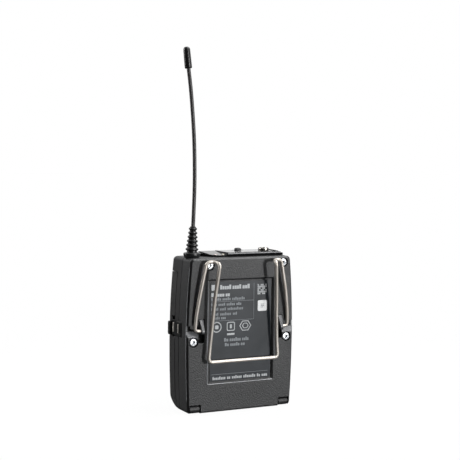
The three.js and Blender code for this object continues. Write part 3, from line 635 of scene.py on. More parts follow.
label_face()
ink("label_ink", base=(196, 199, 201), fleck=(150, 155, 158))
ink("label_ink_faint", base=(136, 141, 145), fleck=(108, 113, 117))
flecked("tag_paper", base=(246, 247, 247), fleck=(226, 228, 229), grain=1700, detail=4.0,
        texture=0.65, span=(0.4, 0.7), rough=(0.5, 0.66), strength=0.3)
circuit_board()
clear_lens()
display_body()
flecked("display_ink", base=(34, 22, 14), fleck=(46, 30, 20), grain=3000, detail=2.0,
        texture=0.5, span=(0.3, 0.7), rough=(0.3, 0.4), spec=0.5)
light_pipe("light_pipe_red", base=(214, 202, 201), fleck=(190, 176, 175))
light_pipe("light_pipe_yellow", base=(218, 215, 203), fleck=(194, 190, 178))
cell_sleeve()

# slots whose material has another name
SLOT_MATERIAL = {
    "rubber": "antenna_rubber", "nickel": "bright_nickel", "label_print": "label_face",
    "brass": "turned_brass", "shield_tin": "tinned_sheet", "clear_lens": "lens_clear",
    "lcd_panel": "display_body", "led_red": "light_pipe_red", "led_yellow": "light_pipe_yellow",
    "cell_wrap": "cell_sleeve",
}


# ---------------------------------------------------------------- finishing
def slot_material(slot):
    return MATERIALS[SLOT_MATERIAL.get(slot, slot)]


def shade(bm, sharp):
    """Smooth faces, with edges of `sharp` degrees and over kept crisp."""
    for face in bm.faces:
        face.smooth = True
    for edge in bm.edges:
        if len(edge.link_faces) == 2:
            edge.smooth = edge.calc_face_angle(0.0) < math.radians(sharp)


def finish(piece, name, slot, material=None, replaces=None, body="housing", extra=(),
           bevel=0.0, sharp=32, segments=2, flat=0.6):
    """Cleans the mesh, brings it to metres, rounds and shades it and puts it on its body.

    Without a material it takes its slot's; `extra` names further ones. Faces within `flat`
    degrees of each other are merged, unless it is 0.
    """
    piece.name = name
    mesh = piece.data
    mesh.name = name
    bm = bmesh.new()
    bm.from_mesh(mesh)
    bmesh.ops.remove_doubles(bm, verts=bm.verts, dist=2e-4)
    if flat:
        bmesh.ops.dissolve_limit(
            bm, angle_limit=math.radians(flat), verts=bm.verts, edges=bm.edges, delimit=set())
    bmesh.ops.recalc_face_normals(bm, faces=bm.faces)
    bmesh.ops.scale(bm, vec=(0.001,) * 3, verts=bm.verts)
    shade(bm, sharp)
    bm.to_mesh(mesh)
    bm.free()
    if bevel:
        rim = piece.modifiers.new("edge", "BEVEL")
        rim.width = bevel * 0.001
        rim.segments = segments
        rim.limit_method = "ANGLE"
        rim.angle_limit = math.radians(sharp)
        rim.use_clamp_overlap = True
        rim.miter_outer = "MITER_ARC"
        rim.harden_normals = False
    normals = piece.modifiers.new("normals", "WEIGHTED_NORMAL")
    normals.weight = 60
    normals.keep_sharp = True
    mesh.materials.clear()
    mesh.materials.append(MATERIALS[material] if material else slot_material(slot))
    for other in extra:
        mesh.materials.append(MATERIALS[other])
    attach(piece, body)
    if replaces:
        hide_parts(replaces)
    return piece


def recolor(piece, index, chosen):
    """Gives material `index` to faces chosen by centre (metres) and normal."""
    for face in piece.data.polygons:
        if chosen(face.center, face.normal):
            face.material_index = index


def dress_nodes():
    """Shades the loaded pieces and gives each its slot's material."""
    slots = {part["node"]: part["material_slot"] for part in frame["record"]["subparts"]}
    for name, node in frame["nodes"].items():
        node.data.materials.clear()
        node.data.materials.append(slot_material(slots[name]))
        bm = bmesh.new()
        bm.from_mesh(node.data)
        shade(bm, 34)
        bm.to_mesh(node.data)
        bm.free()


# ---------------------------------------------------------------- the body's outer form
# (y, z) points of the underside and front, rear to front, then upwards
UNDERSIDE = [
    (-1, 0.15), (1.5, 0.75), (5, 2.3), (8.1, 4.45), (10.3, 7.4), (11.5, 11.6), (FRONT_Y, 18.5),
    (FRONT_Y, 50), (11.7, 62), (11.1, 73.1)]
# (y, inset of the outline) at the rear and front rims
REAR_RIM = [(REAR_Y, 1.04), (REAR_Y + 0.03, 0.92), (REAR_Y + 0.11, 0.8), (REAR_Y + 0.78, 0.13),
            (REAR_Y + 0.9, 0.04), (REAR_Y + 1.05, 0.0)]
FRONT_RIM = [(8.8, 0.0), (9.4, 0.04), (10.0, 0.2), (10.6, 0.46), (11.0, 0.72), (11.4, 1.12),
             (11.75, 1.62), (12.05, 2.3)]


def half_width(z):
    if z > BULGE_Z:
        return HALF_MID - (HALF_MID - HALF_TOP) * ((z - BULGE_Z) / (SHELL_TOP - BULGE_Z)) ** 2
    return HALF_MID - (HALF_MID - HALF_BOTTOM) * ((BULGE_Z - z) / BULGE_Z) ** 2


def outline(gap, side_steps=22, corner_steps=8):
    """The body's (x, z) outline moved in by a gap."""
    z0, z1 = gap, SHELL_TOP - gap
    r = max(0.4, CORNER - gap * 0.6)
    heights = [z0 + r + (z1 - z0 - 2 * r) * i / side_steps for i in range(side_steps + 1)]
    side = [(half_width(z) - gap, z) for z in heights]
    top_x, bottom_x = side[-1][0] - r, side[0][0] - r

    def arc(cx, cz, start):
        angles = [math.radians(start + 90.0 * i / corner_steps) for i in range(1, corner_steps + 1)]
        return [(cx + r * math.cos(a), cz + r * math.sin(a)) for a in angles]

    return (side + arc(top_x, z1 - r, 0) + [(-top_x, z1)] + arc(-top_x, z1 - r, 90)[:-1]
            + [(-x, z) for x, z in side[::-1]] + arc(-bottom_x, z0 + r, 180)
            + [(bottom_x, z0)] + arc(bottom_x, z0 + r, 270)[:-1])


def side_profile(gap, y_top):
    """The body's (y, z) side profile moved in by a gap; y_top gives a flat, round-topped front."""
    curve = [tuple(catmull_rom(*numbers, t) for numbers in zip(*four))
             for four, t in spans(UNDERSIDE, 4)] + [UNDERSIDE[-1]]
    base = [(-13.0, 0.0)] + [(min(y, FRONT_Y), z) for y, z in curve]
    if y_top:
        # (distance behind y_top, z) up the front and over the rounded top
        over = ((0, 9), (0, 76.9), (0.12, 77.8), (0.5, 78.7), (1.1, 79.4), (1.8, 79.85), (2.6, 80.0))
        full = [p for p in base if p[0] < y_top and p[1] < 12]
        full += [(y_top - d, z) for d, z in over] + [(-13, 80)]
    else:
        full = base + [(10.9, 81), (-13, 81)]
    if not gap:
        return full
    moved = []
    for i, (y, z) in enumerate(full):
        a, b = full[max(0, i - 1)], full[min(len(full) - 1, i + 1)]
        along = Vector((b[0] - a[0], b[1] - a[1])).normalized()
        moved.append((y - along.y * gap, z + along.x * gap))
    return moved


def trim(piece, gap=0, y_top=None):
    """Keeps what lies within the side profile."""
    return meet(piece, prism("x", side_profile(gap, y_top), -FAR, FAR))


def split_rim(y, lip, into):
    if not lip:
        return [(y, 0.0)]
    return [(y, lip), (y + into * lip * 0.35, lip * 0.35), (y + into * lip, 0.0)]


def envelope(y0=None, y1=None, lip=0.0):
    """The outer form, cut short at y0 or y1 with a small lip bevel."""
    levels = REAR_RIM if y0 is None else split_rim(y0, lip, 1)
    levels = levels + (FRONT_RIM if y1 is None else split_rim(y1, lip, -1)[::-1])
    return stack("y", [(y, outline(d)) for y, d in levels])


def inner_body(d):
    """The outer form moved in by d."""
    levels = ((-20, d), (8.8 - d * 0.4, d), (9.9 - d * 0.6, d + 0.18), (11.0 - d, 0.72 + d),
              (12.1 - d, 2.4 + d))
    return trim(stack("y", [(y, outline(gap)) for y, gap in levels]), d)


# top panel outline, (x, y)
PANEL = [
    (-18.4, 3.2), (-17.2, 0.4), (-15.5, -3.0), (-14.0, -5.1), (-12.2, -6.4), (-10.5, -7.1),
    (-8.6, -7.4), (26.4, -7.4), (27.2, -7.28), (27.9, -6.9), (28.35, -6.4), (28.55, -5.9),
    (28.6, -5.3), (28.6, 5.3), (28.55, 5.9), (28.35, 6.4), (27.9, 6.9), (27.2, 7.28),
    (26.4, 7.4), (-14.8, 7.4), (-16.4, 7.0), (-17.6, 6.2), (-18.2, 4.8)]


def panel_form(levels):
    """The panel's outline stacked by (z, inset)."""
    return stack("z", [(z, inset(PANEL, d, (0, 0))) for z, d in levels])


def contact_opening():
    return block(-33, -27.6, -5.9, 7.2, 38.8, 47.2)


def antenna_bore():
    return cylinder("z", 2.35, ANT_X, ANT_Y, 70, 82, 28)


def openings():
    """Cuts shared by shell and frame: top panel, jack, charge contacts, antenna."""
    top = meet(block(-15.6, 16.0, -5.6, 6.0, 76.9, 81.5), panel_form(((77.0, 1.1), (81.5, 1.1))))
    jack = block(15.5, 23.6, -2.6, 4.2, 76.0, 81.5)
    return top, jack, contact_opening(), antenna_bore()


# ---------------------------------------------------------------- rear shell
# (y from the rear face, outset) down into the label recess
RECESS = ((-0.5, 1.5), (-0.06, 1.08), (0.02, 0.86), (0.1, 0.72), (0.68, 0.14), (0.76, 0.03),
          (LABEL_DEPTH, -0.12))
# (y, z) of the sloped channel outside each clip lug
CHANNEL = [(-13, 45.7), (-10.4, 45.7), (-10.4, 43.1), (-10.44, 42.9), (-10.56, 42.5),
           (-11.9, 39.75), (-12.06, 39.45), (-13, 38.2)]
# (radius, y) of a screw's counterbore
SCREW_HOLE = [(0, -9.9), (2.56, -9.9), (2.56, -11.86), (2.6, -11.96), (2.7, -12.04),
              (2.95, -13), (0, -13)]


def shell_pads():
    """Pads inside the rear wall at the lugs, screws and hinge arms."""
    pads = side_block(1, 19.4, 31, REAR_Y + 1.2, -7.2, 34.6, 51.0)
    pads = join(pads, side_block(-1, 19.4, 31, REAR_Y + 1.2, -7.2, 34.6, 51.0))
    for x, z in SCREWS.values():
        pads = join(pads, cylinder("y", 3.1, x, z, REAR_Y + 1.2, -7.6, 28))
    for side, _ in SIDES:
        pads = join(pads, side_block(side, 21.6, 31, REAR_Y + 1.2, PART_Y, 0.3, 5.8))
    return pads


def rear_shell():
    shell = trim(envelope(None, PART_Y, SPLIT_LIP), y_top=UPPER_FRONT_Y)
    shell = cut(shell, prism("y", outline(WALL), REAR_Y + REAR_WALL, PART_Y + 1))
    inside = meet(envelope(REAR_Y + REAR_WALL - 0.5, PART_Y),
                  block(-FAR, FAR, -13, PART_Y, 0.25, 79.75))
    boss = meet(cylinder("z", 3.3, ANT_X, ANT_Y, 73.5, 79, 28), copy(inside))
    boss = cut(boss, antenna_bore())
    shell = join(shell, meet(shell_pads(), inside), block(-22.4, 22.4, -6, 1.5, 0, 1.5))
    half, z0, z1 = LABEL_HALF, LABEL_Z0, LABEL_Z1
    recess = stack("y", [
        (REAR_Y + y, round_rect(-half - d, half + d, z0 - d, z1 + d, 0.55 + max(0, d) * 0.5, 6))
        for y, d in RECESS])
    groove_y = REAR_Y + 0.5, REAR_Y + 1.25
    # deeper shadow lines along the recess's top and right edges
    shell = cut(
        shell, recess,
        block(-half - 0.06, half + 0.06, *groove_y, z1 - 0.62, z1 + 0.06),
        block(half - 0.58, half + 0.06, *groove_y, z0 + 0.3, z1 + 0.06))
    for side, _ in SIDES:
        shell = cut(
            shell,
            prism("x", CHANNEL, *mirrored(side, LUG_X1 - 0.2, 33)),
            side_block(side, LUG_X1 - 0.2, 30.0, -12.5, -9.0, 42.75, 45.7),
            flared(*mirrored(side, 21.1, 24.6), 36.5, 48.9, -13, -9.0, 0.1, corner=0.5),
            flared(*mirrored(side, 22.8, 29.1), -3.0, 4.5, -13.4, PART_Y + 0.1, 0.22),
            cylinder("x", 0.85, HINGE_Y, HINGE_Z, *mirrored(side, 22.0, 29.6), 24))
    for x, z in SCREWS.values():
        shell = cut(shell, lathe("y", SCREW_HOLE, x, z, 48), cylinder("y", 1.1, x, z, -11, -7, 20))
    shell = cut(join(shell, boss), *openings())
    finish(shell, "rear_shell_form", "shell_paint", replaces="rear_shell",
           extra=("channel_paint", "bevel_paint"), bevel=0.09, sharp=33)
    # painted shade on the left rim, then a lighter painted highlight on the channels' slopes
    recolor(shell, 2, lambda c, n: c.y < -0.0108 and c.x < -0.027 and n.x < -0.25)
    recolor(shell, 1, lambda c, n: n.y < -0.8 and n.z > 0.3 and abs(c.x) > 0.0240
            and 0.0385 < c.z < 0.0433)


def rear_edge_lines():
    """Fine beads up the two rear side edges, coloured as a painted highlight."""
    edge = [(x, z) for x, z in outline(0.02, side_steps=40) if x < -20 and 5.0 < z < 77.5]
    edge.sort(key=lambda p: p[1])
    radii = [0.02] + [0.11] * (len(edge) - 2) + [0.02]
    for side, name in SIDES:
        line = sweep([vec(-side * x, REAR_Y + 1.06, z) for x, z in edge], radii, 10)
        finish(line, "rear_edge_line_" + name, "shell_paint", "burnished_edge", flat=0)


# ---------------------------------------------------------------- front frame
def within_shell():
    return prism("y", outline(WALL + 0.15), -12, PART_Y + 1)


def front_frame():
    skin = trim(envelope(FRAME_REAR_Y, DOOR_Y - 0.36, SPLIT_LIP))
    skin = trim(skin, y_top=UPPER_FRONT_Y)
    skin = meet(skin, block(-FAR, FAR, -5, 12, -1, 79))
    skin = cut(skin, block(-FAR, FAR, 1.6, DOOR_Y + 1, -1, 5.5))
    core = meet(inner_body(DOOR_WALL + DOOR_GAP), block(-FAR, FAR, 1.2, 9.7, 0, 72.3))
    upper = trim(envelope(FRAME_REAR_Y, None, SPLIT_LIP), y_top=UPPER_FRONT_Y)
    bezel = copy(upper)
    upper = meet(upper, block(-FAR, FAR, PART_Y, 11, 72.2, 81))
    bezel = meet(bezel, block(-21.5, 21.5, PART_Y, 11, 59.2, 74))
    tray = meet(block(BAY_X0 - 1.3, 28.9, -6.9, 0, 6.2, 60.0), within_shell())
    body = join(skin, core, upper, bezel, tray)
    body = cut(
        body,
        block(BAY_X0, BAY_X1, -5.7, 14, BAY_Z0, BAY_Z1),
        # rear and front hollows around the keys
        block(-28.2, -5.9, -3, 5.0, 6.6, 57.5),
        block(-28.0, -5.9, 6.4, 14, 7.2, 57.5),
        # display pocket and its two stepped openings
        block(-20.0, 20.0, -3, 8.0, 60.6, 77.4),
        prism("y", round_rect(-15.5, 15.5, 64.0, 74.0, 0.6), 7, 10),
        prism("y", round_rect(-17.2, 17.2, 62.3, 75.7, 1.2), 9.3, 12),
        # hollows beside the display, under the jack and at the bottom
        block(-28.2, -19.0, -3, 8.0, 60.6, 77.8),
        block(19.0, 28.2, -3, 8.0, 60.6, 73.2),
        block(15.9, 23.3, -3, 4.5, 60.6, 77.5),
        block(-23.0, 23.0, -2.5, 2.0, -1, 2.0),
        *openings())
    for side, _ in SIDES:
        # room for a hinge arm, then for a catch
        body = cut(body, side_block(side, 23.0, 28.9, -3, DOOR_Y + 1.3, -1, 4.35),
                   side_block(side, 26.0, 33, 6.2, 14, 34.4, 47.6))
    for z, half in KEYS.values():
        hole = round_rect(KEY_X - 4.85, KEY_X + 4.85, z - half - 0.05, z + half + 0.05, 1.8, 6)
        body = cut(body, prism("y", hole, 4.5, 7))
    for x, z in SCREWS.values():
        body = join(body, meet(cylinder("y", 2.0, x, z, -7.1, -0.2, 28), within_shell()))
        body = cut(body, cylinder("y", 1.02, x, z, -8, -0.6, 20))
    # the screw posts may have grown into the contact opening
    body = cut(body, contact_opening())
    finish(body, "front_frame_form", "frame_plastic", replaces="front_frame", bevel=0.09, sharp=33)


# ---------------------------------------------------------------- battery door
def battery_door():
    door = cut(trim(envelope()), inner_body(DOOR_WALL))
    # (y, z) of the part of the body the door takes up
    extent = [
        (1.9, -1), (14, -1), (14, DOOR_TOP), (DOOR_Y + 1.2, DOOR_TOP),
        (DOOR_Y + 0.55, DOOR_TOP - 0.2), (DOOR_Y + 0.15, DOOR_TOP - 0.6),
        (DOOR_Y, DOOR_TOP - 1.2), (DOOR_Y, 5.2), (1.9, 5.2)]
    door = meet(door, prism("x", extent, -FAR, FAR))
    door = cut(
        door,
        prism("y", round_rect(-21.9, 21.9, 58.8, 90, 1.2), 3, 14),
        block(-FAR, -28.8, 3, 7.2, 38.0, 49.0),
        block(-FAR, -30.45, 3, 14, 37.4, 48.6),
        block(30.45, FAR, 3, 14, 37.4, 48.6))
    arm_profile = [(HINGE_Y, 0.35), (-1, 0.35), (1.5, 0.95), (5.6, 2.8), (6.6, 4.0),
                   (HINGE_Y, 3.95)]
    for side, _ in SIDES:
        arm_x = mirrored(side, ARM_X0, ARM_X1)
        arm = prism("x", arm_profile, *arm_x)
        arm = join(arm, cylinder("x", 2.05, HINGE_Y, HINGE_Z, *arm_x, 40))
        door = join(door, arm)
        door = cut(
            door, cylinder("x", 0.86, HINGE_Y, HINGE_Z, *mirrored(side, 20, 31), 24),
            prism("x", round_rect(7.5, 10.7, 38.4, 46.0, 1.0), *mirrored(side, 27, FAR)))
    # shallow grooves across the face below the window
    for i in range(5):
        z = 51.2 - i * 1.7
        door = cut(door, sweep([vec(x, FRONT_Y + 0.28, z) for x in (-9, 9)], 0.5, 20))
    finish(door, "battery_door_form", "door_paint", replaces="battery_door", body="door",
           extra=("knuckle_plastic",), bevel=0.09, sharp=33)
    recolor(door, 1, lambda c, n: c.y < -0.0066)


# ---------------------------------------------------------------- top panel
# (z, inset of the outline)
PANEL_LEVELS = (
    (80.05, 1.0), (81.28, 1.0), (81.34, 0.1), (81.38, 0.02), (81.42, 0.0), (81.5, 0.01),
    (81.86, 0.26), (81.92, 0.34), (81.94, 0.85), (82.09, 0.85), (82.12, 0.3), (82.24, 0.3),
    (82.28, 0.36), (82.3, 0.5))
# (x, z) of the panel's top line: level, then falling away beside the jack
PANEL_TOP = [
    (-30, 82.45), (22.3, 82.45), (23.2, 82.36), (24.2, 82.12), (25.3, 81.78), (26.3, 81.4),
    (27.1, 81.05), (27.9, 80.7), (28.6, 80.32), (30, 79.5)]
# (x, z) of the ribs' crests
PANEL_RIBS = ((23.4, 82.7), (24.7, 82.38), (26.0, 81.93), (27.3, 81.36))


def shaped(piece):
    """Level over the switch, falling away on the right, sloping at the light pipes."""
    # (y, z of the slope, lean of its right wall)
    slope = stack("y", [
        (y, [(-30, z), (-6.2, z), (-6.2 + lean, 82.4), (-6.2 + lean, 84), (-30, 84)])
        for y, z, lean in ((-9, 80.6, 1.0), (8, 82.25, 0.1))])
    fall = prism("y", [(-30, 79), (30, 79)] + PANEL_TOP[::-1], -12, 12)
    return cut(meet(piece, fall), slope)


def panel_guard():
    """A slanting wall along the panel's left end."""
    # top z at its front and rear ends, inset, rise
    levels = ((80.3, 80.3, 0.0, 0.0), (82.45, 81.05, 0.0, -0.12), (82.45, 81.05, 0.03, -0.04),
              (82.45, 81.05, 0.1, 0.0))
    return loft([[
        vec(-17.5 + d, 2.9 - d, front + rise), vec(-17.5 + d * 2, 3.0 - d, front + rise),
        vec(-16.7 - d, 3.4 - d * 1.4, front + rise), vec(-12.9 - d, -2.9 - d, rear + rise),
        vec(-13.1 - d, -3.0, rear + rise), vec(-13.7 + d, -3.4 + d, rear + rise)]
        for front, rear, d, rise in levels])


def panel_rib(x, z):
    """A rib along y, narrowed at both ends."""
    return stack("y", [(y, [
        (x - 0.27 + d, z - 1.0), (x - 0.27 + d, z - 0.16), (x - 0.17 + d, z - 0.04),
        (x - 0.04, z), (x + 0.04, z), (x + 0.17 - d, z - 0.04), (x + 0.27 - d, z - 0.16),
        (x + 0.27 - d, z - 1.0)])
        for y, d in ((-6.2, 0.06), (-6.05, 0.0), (6.05, 0.0), (6.2, 0.06))])


def top_panel():
    panel = shaped(panel_form(PANEL_LEVELS))
    seal = shaped(panel_form([(z, 0.72) for z in (80.07, 81.8, 82.2)]))
    panel = join(panel, panel_guard(), block(-15.4, -13.8, 0.6, 5.7, 78.2, 80.2),
                 block(13.6, 15.2, -5.3, 5.7, 78.2, 80.2))
    for x, z in PANEL_RIBS:
        panel = join(panel, panel_rib(x, z))
    jack_hole = [(0, 78), (3.05, 78), (3.05, 81.9), (3.2, 82.1), (3.5, 84), (0, 84)]
    slider_hole = stack("z", [
        (z, round_rect(1.9 - d, 8.4 + d, 2.9 - d, 5.3 + d, 0.5 + d, 5))
        for z, d in ((78, 0), (82.05, 0), (82.4, 0.22), (84, 0.9))])
    panel = cut(panel, lathe("z", jack_hole, JACK_X, JACK_Y, 48), slider_hole)
    for x in LIGHT_PIPES.values():
        panel = cut(panel, cylinder("z", 1.1, x, LIGHTS_Y, 78, 84, 28))
    seal = cut(seal, copy(panel), panel_form(((79, 1.02), (83, 1.02))))
    finish(seal, "panel_seal_form", "black_plastic", "panel_seal", flat=0)
    finish(panel, "top_panel_form", "black_plastic", "panel_gloss", "top_panel",
           extra=("panel_lip",), bevel=0.05, sharp=33)
    # the lip along the rear, in a lighter colour that paints its highlight
    recolor(panel, 1, lambda c, n: 0.08138 < c.z < 0.08192 and c.y < -0.0065 and n.y < -0.5)


# ---------------------------------------------------------------- label and its generic print
def label_plate():
    half = LABEL_HALF
    levels = ((REAR_Y + 0.75, 0.0), (REAR_Y + 0.56, 0.0), (REAR_Y + 0.51, 0.03), (PRINT_Y, 0.1))
    plate = stack("y", [
        (y, round_rect(-half + 0.9 + d, half - 0.7 - d, LABEL_Z0 + 0.7 + d, LABEL_Z1 - 0.8 - d,
                       0.8, 8)) for y, d in levels])
    finish(plate, "label_form", "label_print", replaces="label_plate")
    # beads along the left and lower edges of the recess, coloured as a painted highlight
    x, y, low, high = half + 0.62, REAR_Y + 0.2, LABEL_Z0 - 0.62, LABEL_Z1 + 0.4
    path = rounded([vec(-x, y, high), vec(-x, y, low), vec(x, y, low)], [0, 0.7, 0], 6)
    finish(sweep(path, 0.16, 10), "recess_edge_form", "shell_paint", "burnished_edge", flat=0)


def mark(x0, x1, z0, z1, r=0.08, thick=0.03):
    """A raised block of ink."""
    r = min(r, (x1 - x0) * 0.45, (z1 - z0) * 0.45)
    return prism("y", round_rect(x0, x1, z0, z1, r, 2), PRINT_Y + 0.05, PRINT_Y - thick)


def text_line(x0, x1, z0, z1, words, gap):
    """A line of print as plain blocks: words of uneven length, each a row of strokes."""
    scale = (x1 - x0) / (sum(words) + 0.45 * (len(words) - 1))
    strokes, x = [], x0
    height = z1 - z0
    for index, word in enumerate(words):
        n = max(1, int(round(word * scale / (height * 0.62))))
        step = word * scale / n
        for i in range(n):
            tall = 1.0 if (i * 7 + index * 3) % 4 == 0 else 0.74
            strokes.append(mark(x + i * step, x + (i + 1) * step - min(gap, step * 0.34),
                                z0, z0 + height * tall))
        x += (word + 0.45) * scale
    return strokes


def ring_mark(outer, inner):
    """A raised band between two matching loops."""
    n = len(outer)
    verts = [vec(u, y, v) for y in (PRINT_Y + 0.05, PRINT_Y - 0.03)
             for loop in (outer, inner) for u, v in loop]
    faces = []
    for j in range(n):
        k = (j + 1) % n
        faces += [(j, k, n + k, n + j), (2 * n + j, 2 * n + k, 3 * n + k, 3 * n + j),
                  (j, k, 2 * n + k, 2 * n + j), (n + j, n + k, 3 * n + k, 3 * n + j)]
    return solid(verts, faces)


def round_mark(x, z, outer, inner, count, squash=1.0):
    return ring_mark(circle(x, z, outer, count, squash), circle(x, z, inner, count, squash))


def printed(pieces, name, material):
    finish(merged(pieces), name, "label_print", material, flat=0)


def bright_print():
    pieces = text_line(-12.2, 5.2, 63.7, 66.0, [5, 4, 3.4], 0.2)
    pieces += [mark(-17.2, -14.9, 63.3, 66.2, 0.25), mark(-14.4, -13.3, 63.3, 66.2, 0.25)]
    pieces += text_line(-17.2, -6.4, 60.0, 62.0, [2.2, 3.2, 2.0], 0.2)
    # three symbols: a circle, a rounded square, a double hexagon
    pieces += [
        round_mark(-13.9, 44.2, 2.75, 2.25, 40), mark(-14.9, -12.9, 43.2, 45.2, 0.5),
        ring_mark(round_rect(-8.1, -3.4, 41.9, 46.6, 0.9, 5),
                  round_rect(-7.65, -3.85, 42.35, 46.15, 0.6, 5)),
        mark(-7.9, -3.6, 39.7, 40.7, 0.1), mark(-6.3, -5.2, 43.2, 45.3, 0.3),
        round_mark(2.7, 44.2, 3.5, 2.95, 6, 0.86), round_mark(2.7, 44.2, 1.9, 1.45, 6, 0.86)]
    pieces += text_line(-16.0, 16.3, 16.75, 18.35, [4.4, 1.2, 3.4, 4.2, 1.2, 2.0], 0.2)
    printed(pieces, "label_print_bright", "label_ink")


def faint_print():
    pieces = text_line(-17.2, 2.3, 57.95, 59.5, [4, 3.4, 5.2], 0.22)
    # z, right end, word lengths
    for z, x1, words in ((55.2, 0.4, [2.2, 2.6, 3.2, 2]), (52.8, 1.4, [2.4, 2.0, 5.2]),
                         (50.2, -2.1, [2.0, 3.0, 1.2]), (48.2, -8.6, [3.6, 2.0])):
        pieces += text_line(-17.2, x1, z, z + 1.5, words, 0.22)
    # thin rules
    for rule in ((-17.3, 7.6, 57.3, 57.48), (7.48, 7.66, 47.4, 66.3),
                 (-17.3, 7.6, 47.35, 47.53), (-16.9, 16.4, 19.5, 19.66)):
        pieces.append(mark(*rule, 0.02))
    pieces += text_line(-9.6, 4.9, 36.5, 38.3, [2, 5, 3], 0.22)
    pieces += text_line(-9.1, 2.7, 34.0, 35.7, [2, 4.4, 2], 0.22)
    printed(pieces, "label_print_faint", "label_ink_faint")


def code_patch():
    left, bottom, pitch, size = 9.7, 60.2, 0.92, 0.8
    squares = []
    for i in range(6):
        for j in range(6):
            if (i * 5 + j * 3 + i * j) % 3 != 1:
                x, z = left + i * pitch, bottom + j * pitch
                squares.append(mark(x, x + size, z, z + size, 0.05))
    printed(squares, "label_code_patch", "label_ink")


def paper_tag():
    tag = stack("y", [
        (PRINT_Y + y, round_rect(9.9 + d, 15.4 - d, 51.4 + d, 57.1 - d, 0.9, 8))
        for y, d in ((0.05, 0), (-0.06, 0), (-0.09, 0.06))])
    finish(tag, "label_paper_tag", "label_print", "tag_paper")
    lines = ((11.7, 13.7, 54.0, 54.35), (11.7, 13.1, 53.3, 53.6), (11.7, 13.5, 54.8, 55.1))
    printed([mark(*line, 0.05, 0.11) for line in lines], "label_tag_marks", "label_ink_faint")


# ---------------------------------------------------------------- belt clip
# (y, z) seen from the side
LUG_PROFILE = [
    (-9.1, 48.7), (-11.95, 48.7), (-12.2, 48.58), (-12.34, 48.35), (-14.66, 43.25),
    (-14.74, 42.95), (-14.75, 42.5), (-14.72, 42.1), (-14.6, 41.8), (-14.3, 41.5), (-9.1, 41.5)]
# (x, y) seen from above, on the right side
LUG_PLAN = [
    (LUG_X0, -9), (LUG_X1, -9), (LUG_X1, -11.9), (LUG_X1 - 0.12, -12.2), (23.62, -14.9),
    (22.3, -14.9), (LUG_X0 + 0.12, -12.2), (LUG_X0, -11.9)]
# right half of the wire from its end: x, y, z, corner radius
WIRE_HALF = [
    (22.8, PIVOT_Y, PIVOT_Z, 0), (27.0, PIVOT_Y, PIVOT_Z, 2.0), (26.7, -13.4, 50.0, 4),
    (24.9, -14.4, 62.5, 6), (21.7, -14.9, 78.4, 2.1), (17.3, -15.5, 78.4, 1.7),
    (16.3, -19.44, 77.5, 2.3), (18.0, -17.2, 60.0, 8), (18.8, -15.9, 44.5, 6),
    (19.6, -15.2, 34.5, 4), (20.2, -15.4, 26.9, 2.4)]


def clip_lugs():
    for side, name in SIDES:
        lug = prism("x", LUG_PROFILE, *mirrored(side, LUG_X0, LUG_X1))
        lug = meet(lug, prism("z", [(side * x, y) for x, y in LUG_PLAN], 41, 49))
        lug = cut(lug, cylinder("x", WIRE_R + 0.15, PIVOT_Y, PIVOT_Z,
                                *mirrored(side, LUG_X0 + 0.7, 30), 28))
        finish(lug, "clip_lug_form_" + name, "black_plastic", "clip_lug_plastic",
               "clip_lug_" + name, bevel=0.18, sharp=33, segments=3)


def belt_clip():
    stations = WIRE_HALF + [(-x, y, z, r) for x, y, z, r in WIRE_HALF[::-1]]
    path = rounded([vec(*s[:3]) for s in stations], [s[3] for s in stations], 10)
    # a second point by each end makes a small chamfer
    start, end = (a + (b - a).normalized() * WIRE_CHAMFER
                  for a, b in ((path[0], path[1]), (path[-1], path[-2])))
    path = [path[0], start] + path[1:-1] + [end, path[-1]]
    tip = WIRE_R - WIRE_CHAMFER
    wire = sweep(path, [tip] + [WIRE_R] * (len(path) - 2) + [tip], 24)
    finish(wire, "belt_clip_form", "spring_wire", replaces="belt_clip", body="clip",
           flat=0, sharp=50)


# ---------------------------------------------------------------- small parts
# (radius, y) of the domed head and shank
SCREW_PROFILE = [
    (0, -11.8), (1.2, -11.8), (1.6, -11.78), (1.82, -11.73), (1.98, -11.63), (2.07, -11.47),
    (2.1, -11.25), (2.1, -10.0), (0.95, -10.0), (0.95, -1.5), (0.4, -1.0), (0, -1.0)]
SOCKET_LEVELS = ((-12.4, 1.24), (-11.84, 1.2), (-11.7, 1.06), (-10.3, 0.98))  # (y, size)


def six_lobes(x, z, size):
    points = []
    for i in range(48):
        a = 2 * math.pi * i / 48 + 0.3
        r = size * (0.94 + 0.17 * math.cos(6 * a))
        points.append((x + r * math.cos(a), z + r * math.sin(a)))
    return points


def screws():
    for name, (x, z) in SCREWS.items():
        head = lathe("y", SCREW_PROFILE, x, z, 48)
        head = cut(head, stack("y", [(y, six_lobes(x, z, size)) for y, size in SOCKET_LEVELS]))
        finish(head, "screw_form_" + name, "screw_steel", replaces="rear_screw_" + name, sharp=40)


